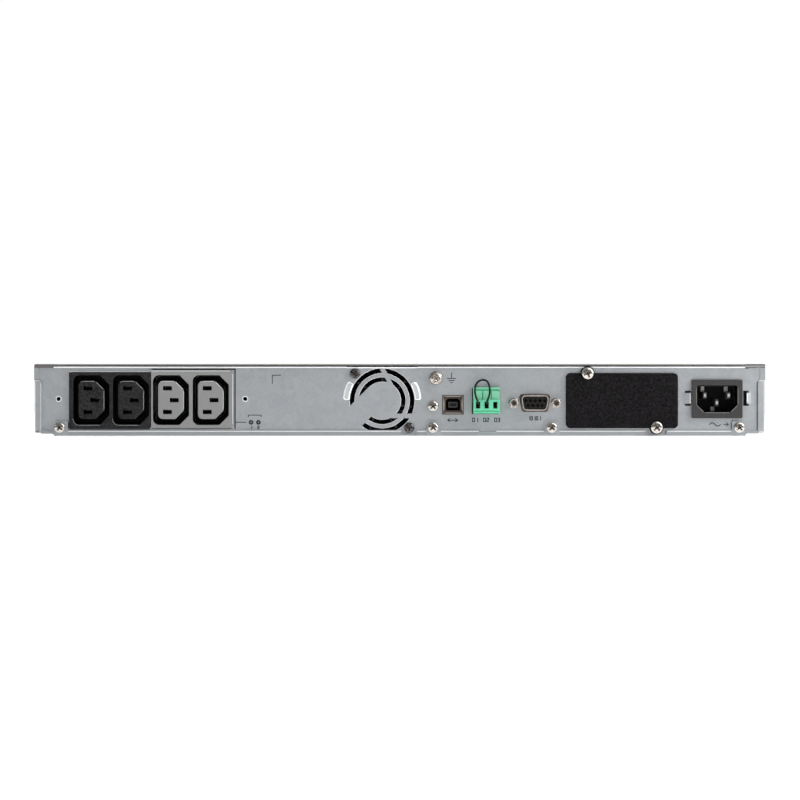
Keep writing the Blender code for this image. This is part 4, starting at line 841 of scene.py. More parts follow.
def inlet_tab(root, tip):
    """A tab bent out of the panel beside the inlet, from its root in x to its tip."""
    side = 1 if tip > root else -1
    inside = PANEL_FACE + 0.6
    shape = [
        (root - 0.6 * side, PANEL_FACE + 0.1), (tip, PANEL_FACE - 1.4), (tip, PANEL_FACE - 0.8),
        (root + 0.4 * side, inside), (root - 0.6 * side, inside),
    ]
    return prism(shape, *INLET_TAB_Z, "Z")


def make_panel():
    """The connector panel with its openings, vent, pads, tabs, top bend and hole collars, and
    painted highlights on its edges.
    """
    slope = PANEL_LOW + STEP_UP
    outline = [
        (-PANEL_HALF, slope), (STEP_UP - STEP_IN, slope), (2 * STEP_UP - STEP_IN, PANEL_LOW),
        (STEP_IN - 2 * STEP_UP, PANEL_LOW), (STEP_IN - STEP_UP, slope), (PANEL_HALF, slope),
        (PANEL_HALF, PANEL_TOP), (-PANEL_HALF, PANEL_TOP),
    ]
    places = TAB_SCREWS + SLOT_SCREWS + FAN_SCREWS + (BOARD_SCREW, EARTH) + JACKS
    holes = [circle(place, SCREW_HOLE) for place in places]
    holes += [circle(place, 1.25) for place in PANEL_HOLES]
    holes += [
        rect(-194.3, -99.3, 5.9, 37.0), centred(INLET, (28.2, 20.4)),
        centred(DATA, (DATA_SHELL[0] + 0.5, DATA_SHELL[1] + 0.5)), d_outline(SERIAL, (19.0, 10.6)),
        rect(SIGNAL[0] - 0.6, SIGNAL[1] - 0.15, SIGNAL_LOW - 0.35, SIGNAL_TOP - 0.2),
        rounded(rect(104.0, 158.5, 9.5, 33.0), 1.5),
    ]
    low, high = INLET_TAB_Z[0] - 1.2, INLET_TAB_Z[1] + 1.2
    holes += [rect(left, right, low, high) for left, right in INLET_TAB_OPENINGS]
    sheet = prism(outline, PANEL_FACE, PANEL_INSIDE, holes=holes)
    fan_left, fan_right = FAN[0] - 21, FAN[0] + 21
    depth, level = (PANEL_FACE + 0.45, PANEL_FACE + 13), (PANEL_TOP - SHEET, PANEL_TOP)
    flanges = [block((-204, fan_left), depth, level), block((fan_right, 202), depth, level)]
    pads = [vent_pad(side) for side in (-1, 1)]
    panel = joined(sheet, *flanges, *pads)
    notch = block((fan_left, fan_right), (PANEL_FACE - REACH, 0), (PANEL_TOP - 0.3, 50))
    panel = cut(panel, notch, *vent_slots())
    panel = round_edges(panel, lambda v: abs(v.y - PANEL_FACE) < 0.01 and v.z > 41.2, 0.7)
    # The pads' sloped sides and the slots' flared mouths get the painted highlight
    piece("connector_panel", panel, "galvanised_steel", stands_for="rear_panel",
          second=PAINTED_HIGHLIGHT, where=gets_painted_highlight)
    tops = [vent_pad(side, ((-0.05, -0.5), (-0.05, -0.57))) for side in (-1, 1)]
    piece("vent_pad_tops", merged(tops), PAD_TOP, slot="galvanised_steel")
    tabs = [inlet_tab(*tab) for tab in INLET_TABS]
    piece("inlet_tabs", merged(tabs), "galvanised_steel", bevel=0.25, segments=3)
    low, high = INLET_TAB_Z
    # Painted glints on the tips of the inlet tabs
    on_tabs = (PANEL_FACE - 1.46, PANEL_FACE - 1.2)
    glints = [block((171.2, 171.9), on_tabs, (low + 0.3, high - 0.2)),
              block((204.9, 205.7), on_tabs, (low + 1.2, high - 0.1))]
    piece("inlet_tab_glints", merged(glints), EDGE_HIGHLIGHT, bevel=0.1, slot="galvanised_steel")
    # A painted highlight along the panel's top bend, under the lid's edge
    bend = [
        block((left, right), (PANEL_FACE - 0.12, PANEL_FACE - 0.02), (top - 0.68, top))
        for left, right, top in (
            (-213.4, fan_left, 41.2), (fan_left, fan_right, 41.0), (fan_right, 213.4, 41.2)
        )
    ]
    piece("panel_bend_highlight", merged(bend), PAINTED_HIGHLIGHT, slot="galvanised_steel")
    # Raised collars about two small holes, painted bright as a highlight
    collar = [(1.25, 0.1), (1.3, -0.10), (1.45, -0.12), (1.75, -0.02), (1.75, 0.1), (1.25, 0.1)]
    for i, place in enumerate(PANEL_HOLES):
        ring = turned(collar, place, PANEL_FACE)
        piece(f"panel_hole_collar_{i + 1}", ring, RIM_HIGHLIGHT, slot="galvanised_steel")


# ---------------------------------------------------------------- fasteners


# A screw's head: its height as a share of its radius, and its rim's in mm
DOME = 0.60
RIM = 0.3


def dome_height(share, tall, rim):
    """How far a screw's dome stands out at a share of its radius."""
    return rim + (tall - rim) * (1 - share**2.2) ** 0.31


def screw_shape(radius, turn=0.0, deep=3.0, rim=RIM, dome=0.0):
    """A pan-head cross-recess screw that looks along -Y from a seat at y = 0."""
    tall = dome or radius * DOME
    profile = [(0, -tall)]
    for i in range(1, 10):
        share = math.sin(math.pi / 2 * i / 9) ** 0.9
        profile.append((radius * share, -dome_height(share, tall, rim)))
    profile += [(radius, 0), (SHANK, 0), (SHANK, deep), (0, deep)]
    head = turned(profile, sides=48)
    wide = plus_outline(radius * 0.80, radius * 0.16, turn)
    narrow = plus_outline(radius * 0.40, radius * 0.10, turn)
    recess = loft([(wide, -tall - 0.4), (narrow, -tall * 0.12)])
    cone = turned([(0, -tall - 0.4), (radius * 0.34, -tall - 0.4), (radius * 0.1, 0), (0, 0)])
    return cut(head, recess, cone)


def put(mesh, x, y, z, turn=0.0):
    """Turns a mesh about Z and moves it to its place."""
    return moved(mesh, Matrix.Rotation(turn, 4, "Z"), Matrix.Translation((x, y, z)))


def screw(name, radius, turn, x, y, z, finish="nickel_screw", swing=0.0):
    """A cross-recess screw in its place, with painted shade in its recess."""
    shape = put(screw_shape(radius, turn), x, y, z, swing)
    back = (Matrix.Translation((x, y, z)) @ Matrix.Rotation(swing, 4, "Z")).inverted()

    def inside(point):
        place = back @ point
        share = min(1.0, math.hypot(place.x, place.z) / radius)
        return share < 0.9 and 0.1 - dome_height(share, radius * DOME, RIM) < place.y < -0.1

    piece(name + "_head", shape, finish, stands_for=name, bevel=0.06, second=RECESS_SHADE, where=inside)


def make_screws():
    turns = (0.95, 0.78, 0.83, 0.72)
    for i, ((x, z), turn) in enumerate(zip(TAB_SCREWS, turns)):
        screw(f"panel_screw_{i + 1}", 3.2, turn, x, REAR - GAP, z)
    screw("board_screw", 3.2, 0.75, BOARD_SCREW[0], SEAT, BOARD_SCREW[1])
    for i, ((x, z), turn) in enumerate(zip(FAN_SCREWS, (0.7, 0.1))):
        screw(f"fan_screw_{i + 1}", 3.1, turn, x, SEAT, z, "black_screw")
    for i, ((x, z), turn) in enumerate(zip(SLOT_SCREWS, (0.35, 0.75))):
        screw(f"slot_screw_{i + 1}", 3.65, turn, x, SLOT_COVER_FACE - GAP, z)
    for side, word in SIDES:
        for i, y in enumerate(EAR_SCREWS_Y):
            screw(f"ear_screw_{word}_{i + 1}", 3.2, 0.2 + i, side * (EAR_OUTSIDE + GAP), y,
                  MIDDLE_Z, swing=side * math.pi / 2)
    x, z = EARTH
    profile = [(0, -3.9), (1.6, -3.85), (2.5, -3.6), (2.9, -3.3), (2.9, -0.5), (0, -0.5)]
    crown = turned(profile, EARTH, SEAT)
    flange = [(0, -0.9), (3.3, -0.9), (3.55, -0.8), (4.0, -0.3), (4.0, 0), (SHANK, 0)]
    flange = turned(flange + [(SHANK, 8), (0, 8)], EARTH, SEAT)
    head = rod(EARTH, 3.36, SEAT - 3.2, SEAT - 0.6, sides=6)
    recess = loft([(plus_outline(2.5, 0.6, 0.6), 0), (plus_outline(1.6, 0.5, 0.6), 1.1)])
    shape = cut(joined(flange, head, crown), put(recess, x, SEAT - 4.4, z))
    # The recess and the flange's outer slope are painted dark brown as shade
    piece("earth_screw_head", shape, "nickel_screw", stands_for="earth_screw", bevel=0.1,
          second=RECESS_SHADE,
          where=lambda p: SEAT - 3.8 < p.y < SEAT - 1 and math.dist((p.x, p.z), EARTH) < 2.2
          or p.y > SEAT - 0.62)


# ---------------------------------------------------------------- mains side


def make_outlets():
    """Two mouldings with two mains outlets each."""
    blocks = {
        "black": ((-195.3, -147.15, 4.5, 38.0), (0.5, 1.0, 0.5, 0.5), (-182.1, -158.7)),
        "grey": ((-146.85, -98.3, 5.0, 39.0), (0.5, 2.2, 2.2, 0.5), (-135.1, -111.6)),
    }
    floor = OUTLET_FACE + 16.0
    for word, ((left, right, low, high), radii, centres) in blocks.items():
        face = prism(rounded(rect(left, right, low, high), radii), OUTLET_FACE, SEAT)
        body = prism(rect(left + 1.4, right - 1.4, 6.4, 36.5), SEAT - 0.5, -152.5)
        wells, slots, contacts = [], [], []
        for x in centres:
            place = (x, OUTLET_Z)
            well = plug_outline(place, OUTLET_WELL, 3.7, 5.6)
            core = plug_outline(place, OUTLET_CORE, 2.8, 5.0)
            wells.append(prism(well, OUTLET_FACE - REACH, floor, holes=[core]))
            recess = plug_outline(place, (OUTLET_CORE[0] + 1, OUTLET_CORE[1] + 1), 2.8, 5.0)
            slots.append(prism(recess, OUTLET_FACE - REACH, OUTLET_FACE + 0.4))
            for across, up in OUTLET_SLOTS:
                u, v = x + across, OUTLET_Z + up
                slots.append(prism(centred((u, v), (5.2, 2.5)), OUTLET_FACE - 2, floor - 2))
                for leaf in (-0.95, 0.95):
                    strip = centred((u + 0.3, v + leaf), (4.2, 0.35))
                    contacts.append(prism(strip, OUTLET_FACE + 7, OUTLET_FACE + 13))
        shape = cut(joined(face, body), *wells)
        shape = cut(shape, *slots)
        name = f"outlet_block_{word}"
        # The wells' insides are painted near black as shade
        piece(f"outlet_moulding_{word}", shape, f"outlet_{word}", stands_for=name,
              bevel=0.3, segments=3, second=SHADE_BLACK,
              where=lambda p: p.y > OUTLET_FACE + 0.55 and in_outlet(p, centres))
        # Contacts deep in the slots, darkened as painted shade
        piece(f"outlet_contacts_{word}", merged(contacts), SHADED_PLATE, slot="nickel_pin")
        # Painted highlights on edges that face the light, and along the grey moulding's top and
        # right edges
        rims = rim_highlights(centres, word == "black")
        if word == "grey":
            rims += strokes([((-146.4, 38.7), (-100.6, 38.7)), ((-98.6, 36.8), (-98.6, 7.4))],
                            0.4, (OUTLET_FACE - 0.03, OUTLET_FACE + 0.03))
        piece(f"outlet_rim_highlights_{word}", merged(rims), BLACK_EDGE_HIGHLIGHT if word == "black" else GREY_EDGE_HIGHLIGHT,
              slot=f"outlet_{word}")
        on_panel = (PANEL_FACE - 0.06, PANEL_FACE - 0.01)
        below = [((left + 0.6, low - 0.25), (right - 0.8, low - 0.25))]
        line_piece(f"outlet_shade_{word}", below, 0.5, on_panel, SHADOW_LINE,
                   slot="galvanised_steel")
        if word == "black":
            # A painted highlight along the edge above the black moulding
            above = [((left + 0.4, high + 0.3), (right - 0.2, high + 0.3))]
            line_piece("outlet_opening_highlight", above, 0.45, on_panel, RIM_HIGHLIGHT,
                       slot="galvanised_steel")


def rim_highlights(centres, well_rims):
    """Painted highlights: thin bright lines on the cores' right-hand edges and the wells'
    lower-left ones, which face the light.
    """
    marks = []
    for x in centres:
        core = plug_outline((x, OUTLET_Z), (OUTLET_CORE[0] - 0.3, OUTLET_CORE[1] - 0.3), 2.8, 5.0)
        lines = [
            (a, b) for a, b in edges_of(core)
            if min(a[0], b[0]) - x + 0.8 * (min(a[1], b[1]) - OUTLET_Z) > 2.2
        ]
        marks += strokes(lines, 0.3, (OUTLET_FACE + 0.36, OUTLET_FACE + 0.42))
        if well_rims:
            wide, tall = OUTLET_WELL
            well = plug_outline((x, OUTLET_Z), (wide + 0.3, tall + 0.3), 3.7, 5.6)
            lines = [
                (a, b) for a, b in edges_of(well)
                if max(a[0], b[0]) - x + 1.2 * (max(a[1], b[1]) - OUTLET_Z) < -9.5
            ]
            marks += strokes(lines, 0.24, (OUTLET_FACE - 0.03, OUTLET_FACE + 0.03))
    return marks


def in_outlet(point, centres):
    """Whether a point is within the space of one of the outlets' wells."""
    wide, tall = OUTLET_WELL
    aside = min(abs(point.x - x) for x in centres)
    return aside < wide / 2 + 0.01 and abs(point.z - OUTLET_Z) < tall / 2 + 0.01


def make_inlet():
    """The mains inlet, a painted highlight along its inner edge, three blades and the rivets
    behind them.
    """
    x, z = INLET
    flange = prism(rounded(centred(INLET, (30.0, 22.8)), 0.9), INLET_FACE, SEAT)
    body = prism(centred(INLET, (27.4, 19.6)), SEAT - 0.5, INLET_BACK)
    wide, tall, corner = 12.25, 8.05, 4.6
    mouth = [
        (x - wide + corner, z - tall), (x + wide - corner, z - tall),
        (x + wide, z - tall + corner), (x + wide, z + tall), (x - wide, z + tall),
        (x - wide, z - tall + corner),
    ]
    mouth = rounded(mouth, (0.8, 0.8, 0.8, 1.8, 1.8, 0.8))
    room = prism(mouth, INLET_FACE - REACH, INLET_FACE + 16.0)
    slits = [
        prism(centred((x + u, z + v), (2.6, 4.6)), -170, -150) for u, v in INLET_BLADES.values()
    ]
    shape = cut(joined(flange, body), room, *slits)
    # The cavity's inside is painted near black as shade
    piece("mains_inlet_moulding", shape, "connector_black", stands_for="mains_inlet",
          bevel=0.3, segments=3, second=SHADE_BLACK,
          where=lambda p: p.y > INLET_FACE + 0.5 and abs(p.x - x) < 12.3 and abs(p.z - z) < 8.1)
    # A painted highlight on the mouth's edges, all but the top
    rim = [(a, b) for a, b in edges_of(mouth) if max(a[1], b[1]) < z + 7.0]
    line_piece("mains_inlet_rim_highlight", rim, 0.3, (INLET_FACE - 0.03, INLET_FACE + 0.4),
               DIM_EDGE_HIGHLIGHT, slot="connector_black")
    for name, (u, v) in INLET_BLADES.items():
        place = (x + u, z + v)
        tip = INLET_FACE + 2.0
        full = centred(place, (2.0, 4.0))
        blade = loft(
            [(centred(place, (1.35, 1.9)), tip), (full, tip + 1.3), (full, INLET_BACK + 6)]
        )
        # The blades are darkened as painted shade behind their tips
        piece(name + "_blade", blade, "nickel_pin", stands_for=name, second=SHADED_PLATE,
              where=lambda p, tip=tip: p.y > tip + 0.1)
    floor = INLET_FACE + 15.9
    plates = [
        loft([(centred((x + u, z + v), (2.0, 2.8)), floor - 0.5),
              (centred((x + u, z + v), (2.4, 3.2)), floor)])
        for u, v in ((-7.0, 6.0), (7.0, 6.0), (-1.0, -5.9))
    ]
    piece("inlet_rivets", merged(plates), BLADE_FOOT, slot="nickel_pin")


# ---------------------------------------------------------------- connectors


def make_data_socket():
    """The square data socket: shell, springs, moulding, tongue and contacts."""
    x, z = DATA
    front, back = PANEL_FACE - 0.7, PANEL_FACE + 15.5
    wide, tall = DATA_SHELL
    room = rounded(centred(DATA, (wide - 1.0, tall - 1.0)), 0.5)
    shell = prism(rounded(centred(DATA, DATA_SHELL), 1.0), front, back, holes=[room])
    piece("data_shell", shell, BROWN_TIN, stands_for="data_socket_shell", slot="tin_plated")
    # A ring behind the panel closes the gap about the shell and is painted near black as shade
    back_edge = PANEL_INSIDE + 0.1, PANEL_INSIDE + 0.4
    collar = prism(centred(DATA, (wide + 2, tall + 2)), *back_edge,
                   holes=[rounded(centred(DATA, (wide - 0.1, tall - 0.1)), 0.9)])
    piece("data_collar", collar, SHADE_BLACK, slot="connector_black")
    # Springs at the shell's inner edges, painted light as highlights
    springs = []
    for side in (-1, 1):
        edge = x + side * (wide / 2 - 0.5)
        bow = [(edge, z - 3.4)]
        for i in range(9):
            t = i / 8
            bow.append((edge - side * (0.3 + 0.25 * math.sin(math.pi * t)), z - 3.2 + 6.4 * t))
        bow.append((edge, z + 3.4))
        springs.append(prism(bow, front + 0.05, front + 0.28))
    for side in (-1, 1):
        bar = centred((x, z + side * (tall / 2 - 0.5)), (8.8, 0.6))
        springs.append(prism(bar, front + 0.05, front + 0.28))
    piece("data_shell_springs", merged(springs), SPRING_HIGHLIGHT, slot="tin_plated")
    wide, tall = wide - 1.6, tall - 1.6
    mouth = [
        (x - 4.25, z - 3.5), (x + 4.25, z - 3.5), (x + 4.25, z + 2.3), (x + 2.9, z + 3.7),
        (x - 2.9, z + 3.7), (x - 4.25, z + 2.3),
    ]
    # The insert inside the shell is painted near black as shade
    moulding = prism(centred(DATA, (wide, tall)), front + 0.5, back - 0.5)
    moulding = cut(moulding, prism(mouth, front - REACH, front + 10))
    piece("data_insert", moulding, SHADE_BLACK, stands_for="data_socket_insert",
          bevel=0.1, slot="connector_black")
    # The shell's inner fold about the mouth, painted dark as shade
    fold = prism(centred(DATA, (wide + 0.5, tall + 0.5)), front + 0.3, front + 0.45, holes=[mouth])
    piece("data_shell_fold", fold, FOLD_SHADE, slot="tin_plated")
    tongue = prism(centred(DATA, (5.5, 3.3)), front + 1.5, front + 10.5)
    hollow = prism(centred(DATA, (4.1, 1.9)), front, front + 1.8)
    piece("data_tongue", cut(tongue, hollow), "connector_black", bevel=0.1,
          second=PLUG_FACE, where=lambda p: abs(p.y - front - 1.8) < 0.01)
    # Contacts darkened as painted shade
    contacts = [
        prism(centred((x + u, z + v), (1.0, 0.12)), front + 2.2, front + 10)
        for u in (-1.25, 1.25)
        for v in (-1.71, 1.71)
    ]
    piece("data_contacts", merged(contacts), SHADED_PLATE, slot="nickel_pin")


def make_serial_socket():
    """The nine-way D socket: shell, moulding, contacts and two jack screws."""
    x, z = SERIAL
    inside = (SERIAL_SHELL[0] - 1.0, SERIAL_SHELL[1] - 1.0)
    outline = d_outline(SERIAL, SERIAL_SHELL, 2.3)
    tube = prism(outline, SERIAL_FACE, PANEL_INSIDE + 1.0, holes=[d_outline(SERIAL, inside)])
    foot = loft([
        (d_outline(SERIAL, (18.6, 10.4), 2.8), PANEL_INSIDE + GAP),
        (d_outline(SERIAL, (18.4, 10.2), 2.8), PANEL_FACE - 0.2),
        (d_outline(SERIAL, (17.0, 9.2), 2.5), PANEL_FACE - 1.2),
    ])
    foot = cut(foot, prism(d_outline(SERIAL, (16.2, 8.4), 2.1), SERIAL_FACE, PANEL_INSIDE + 5))
    back = PANEL_INSIDE + GAP
    plate = prism(rounded(centred(SERIAL, (30.8, 12.5)), 1.5), back, back + 0.8,
                  holes=[d_outline(SERIAL, (16.0, 8.2)), *(circle(p, SCREW_HOLE) for p in JACKS)])
    piece("serial_tube", joined(tube, foot, plate), "tin_plated", stands_for="serial_shell",
          second=BROWN_TIN, where=lambda p: p.y > PANEL_FACE - 2.0)
    line_piece("serial_rim", edges_of(outline), 0.4, (SERIAL_FACE + 0.02, SERIAL_FACE + 0.5),
               BROWN_TIN, slot="tin_plated")
    fitted = (inside[0] - 0.6, inside[1] - 0.6)
    moulding = prism(d_outline(SERIAL, fitted), SERIAL_FACE + 0.4, back + 9)
    places = [(x - 5.54 + 2.77 * i, z + 1.42) for i in range(5)]
    places += [(x - 4.155 + 2.77 * i, z - 1.42) for i in range(4)]
    bores = [
        turned([(0, -1), (0.95, -1), (0.95, 0.4), (0.62, 0.8), (0.62, 4.5), (0, 4.5)],
               place, SERIAL_FACE, sides=20)
        for place in places
    ]
    # The contact holes' insides are painted near black as shade
    piece("serial_moulding", cut(moulding, *bores), PLUG_FACE, slot="connector_black",
          stands_for="serial_insert", second=BORE_SHADE,
          where=lambda p: SERIAL_FACE + 0.45 < p.y < SERIAL_FACE + 5)
    # Contact sleeves darkened as painted shade
    along = SERIAL_FACE + 2.6, SERIAL_FACE + 4.4
    sleeves = [prism(circle(p, 0.58, 20), *along, holes=[circle(p, 0.42, 20)]) for p in places]
    piece("serial_contacts", merged(sleeves), SHADED_PLATE, slot="nickel_pin")
    for place, (_, word) in zip(JACKS, SIDES):
        washer = rod(place, 3.1, SEAT - 0.5, SEAT)
        nut = rod(place, 2.75, SEAT - 4.6, SEAT - 0.4, sides=6)
        shank = rod(place, SHANK, SEAT - REACH, SEAT + 6)
        bore = turned([(0, -6), (1.75, -6), (1.75, -4.4), (1.3, -4.0), (1.3, -1.6), (0, -1.6)],
                      place, SEAT)
        # The bore and the washer under the nut are painted dark brown as shade
        piece(f"jack_{word}", cut(joined(washer, nut, shank), bore), "nickel_screw",
              stands_for=f"jack_screw_{word}", bevel=0.2, second=RECESS_SHADE,
              where=lambda p, c=place: p.y > SEAT - 0.52
              or math.dist((p.x, p.z), c) < 1.85 and p.y > SEAT - 4.55)
        # The threads in the bore are in the same painted shade
        thread = [
            prism(circle(place, 1.29, 28), SEAT - 3.9 + 0.5 * i, SEAT - 3.7 + 0.5 * i,
                  holes=[circle(place, 1.08, 28)])
            for i in range(4)
        ]
        piece(f"jack_thread_{word}", merged(thread), RECESS_SHADE, slot="nickel_screw")


def make_signal():
    """The green terminal: the fixed half, and the half that pulls off with the jumper."""
    left, right = SIGNAL
    low, high = SIGNAL_LOW, SIGNAL_TOP
    shell = block((left + 0.1, right - 0.3), (PANEL_FACE - 0.5, PANEL_FACE + 11),
                  (low + 0.1, high - 0.4))
    room = block((left + 0.6, right - 0.6), (PANEL_FACE - 3, PANEL_FACE + 9.5),
                 (low + 0.6, high - 0.6))
    piece("signal_housing", cut(shell, room), "signal_green", stands_for="signal_header",
          bevel=0.2)
    pins = [
        prism(centred((x, 19.4), (1.0, 1.0)), PANEL_FACE + 6.9, PANEL_FACE + 9.4)
        for x in SIGNAL_ENTRY_X
    ]
    piece("signal_pins", merged(pins), "nickel_pin")

    back = SIGNAL_SEAT + 1.4
    lower = block(SIGNAL, (SIGNAL_FACE, back), (low, SIGNAL_STEP_Z))
    upper = block(SIGNAL, (SIGNAL_STEP_FACE, back), (SIGNAL_STEP_Z - 1, high))
    tongue = block((left + 1.0, right - 1.0), (back - 0.4, PANEL_FACE + 6.6),
                   (low + 1.0, high - 1.0))
    tools = [
        prism(centred((x, SIGNAL_ENTRY_Z), (2.5, 3.9)), SIGNAL_FACE - REACH, SIGNAL_FACE + 8)
        for x in SIGNAL_ENTRY_X
    ]
    tools.append(block((left - 1, right + 1), (SIGNAL_FACE - 1, SIGNAL_FACE + 0.6), (14.6, 15.3)))
    deep = (SIGNAL_STEP_FACE - REACH, SIGNAL_STEP_FACE + 0.6)
    tools += [block((x - 0.3, x + 0.3), deep, (SIGNAL_STEP_Z + 0.2, 27)) for x in SIGNAL_RIBS_X]
    tools.append(block((left + 0.5, right - 0.5), (SIGNAL_STEP_FACE - 1, SIGNAL_STEP_FACE + 1.0),
                       (26.95, 28.1)))
    for x in SIGNAL_ENTRY_X:
        tools.append(rod((x, SIGNAL_STEP_FACE + 2.8), 1.2, high - 2.5, high + 1, "Z"))
    shape = cut(joined(lower, upper, tongue), *tools)

    # The wire entries' insides are painted near black as shade
    def in_entry(p):
        aside = min(abs(p.x - x) for x in SIGNAL_ENTRY_X)
        return p.y > SIGNAL_FACE + 0.5 and aside < 1.26 and abs(p.z - SIGNAL_ENTRY_Z) < 1.96

    plug = piece("signal_plug_body", shape, "signal_green", "signal_plug", "signal_plug",
                 bevel=0.1, second=SHADE_BLACK, where=in_entry)
    plug.data.materials.append(PALE_GREEN)
    for face in plug.data.polygons:
        if abs(face.center.y / MM - SIGNAL_STEP_FACE) < 0.05:
            face.material_index = 2
    # Clamps darkened as painted shade
    clamps = []
    for x in SIGNAL_ENTRY_X:
        cage = centred((x, SIGNAL_ENTRY_Z), (2.3, 3.7))
        clamps.append(prism(cage, SIGNAL_FACE + 7.0, SIGNAL_FACE + 7.8,
                            holes=[centred((x, SIGNAL_ENTRY_Z + 0.4), (1.6, 2.4))]))
        tip = screw_shape(1.1, 0.4, deep=0.6, rim=0.2)
        moved(tip, UPWARDS)
        clamps.append(put(tip, x, SIGNAL_STEP_FACE + 2.8, high - 1.5))
    piece("signal_clamps", merged(clamps), SHADED_PLATE, "signal_plug", slot="nickel_screw")


def smooth_route(places):
    """Points on a smooth curve through the places."""
    parts = 8
    inner = [Vector(place) for place in places]
    knots = [2 * inner[0] - inner[1], *inner, 2 * inner[-1] - inner[-2]]
    points = []
    for a, b, c, d in zip(knots, knots[1:], knots[2:], knots[3:]):
        square = 2 * a - 5 * b + 4 * c - d
        cube = 3 * b - a - 3 * c + d
        for i in range(parts):
            t = i / parts
            points.append(0.5 * (2 * b + (c - a) * t + square * t**2 + cube * t**3))
    return [*points, inner[-1]]


def make_jumper():
    """The jumper wire, as a round curve in place of its CAD node, riding on the signal plug."""
    points = [p * MM for p in smooth_route(JUMPER_ROUTE)]
    curve = bpy.data.curves.new("jumper_sleeve", "CURVE")
    curve.dimensions = "3D"
    curve.bevel_depth = WIRE_RADIUS * MM
    curve.bevel_resolution = 6
    curve.use_fill_caps = True
    spline = curve.splines.new("POLY")
    spline.points.add(len(points) - 1)
    for point, place in zip(spline.points, points):
        point.co = (*place, 1)
    curve.materials.append(SURFACES["wire_sleeve"])
    wire = placed("jumper_sleeve", curve)
    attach(wire, "signal_plug")
    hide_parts("jumper_wire")


def make_slot_cover():
    """The painted cover of the empty card slot, with an ear at each screw."""
    plate = prism(rounded(rect(*SLOT_COVER), 2.6, 8), SLOT_COVER_FACE, SEAT)
    ears = [rod(place, 4.2, SLOT_COVER_FACE, SEAT, sides=48) for place in SLOT_SCREWS]
    left, right, low, high = SLOT_COVER
    room = rounded(rect(left + 7, right - 7, low + 9, high - 9), 2)
    hollow = prism(room, SLOT_COVER_FACE + 1, PANEL_FACE + REACH)
    holes = [rod(place, SCREW_HOLE, -190, -170) for place in SLOT_SCREWS]
    shape = joined(plate, *ears)
    shape = round_edges(shape, lambda v: v.y < SLOT_COVER_FACE + 0.01, 0.9)
    shape = cut(shape, hollow, *holes)
    piece("card_slot_lid", shape, "black_powder_coat", stands_for="slot_cover")


# ---------------------------------------------------------------- printed marks

# Segments of a seven-segment digit, in units of its width and half its height
SEGMENTS = {
    "a": ((0, 2), (1, 2)),
    "b": ((1, 2), (1, 1)),
    "c": ((1, 1), (1, 0)),
    "d": ((0, 0), (1, 0)),
    "e": ((0, 1), (0, 0)),
    "f": ((0, 2), (0, 1)),
    "g": ((0, 1), (1, 1)),
}
DIGITS = {"0": "abcdef", "1": "bc", "2": "abged", "3": "abgcd", "5": "afgcd"}


def strokes(lines, width, y):
    """Thin raised strips along lines ((u, v), (u, v)) on a face at y."""
    marks = []
    for start, end in lines:
        a, b = Vector(start), Vector(end)
        along = (b - a).normalized() * width / 2
        across = Vector((-along.y, along.x))
        corners = [a - along - across, b + along - across, b + along + across, a - along + across]
        marks.append(prism([tuple(c) for c in corners], *y))
    return marks


def number(text, centre, size, turn=1):
    """The lines of a row of digits about a centre; turn -1 is for a face seen from +Y."""
    (middle, level), (wide, tall) = centre, size
    pitch = wide * 1.75
    start = -pitch * (len(text) - 1) / 2 - wide / 2
    lines = []
    for i, digit in enumerate(text):
        for segment in DIGITS[digit]:
            lines.append(tuple(
                (middle + turn * (start + i * pitch + u * wide), level + (v / 2 - 0.5) * tall)
                for u, v in SEGMENTS[segment]
            ))
    return lines


def line_piece(name, lines, width, y, finish, body="chassis", slot=""):
    """A piece made of thin raised strips."""
    piece(name, merged(strokes(lines, width, y)), finish, body, slot=slot)


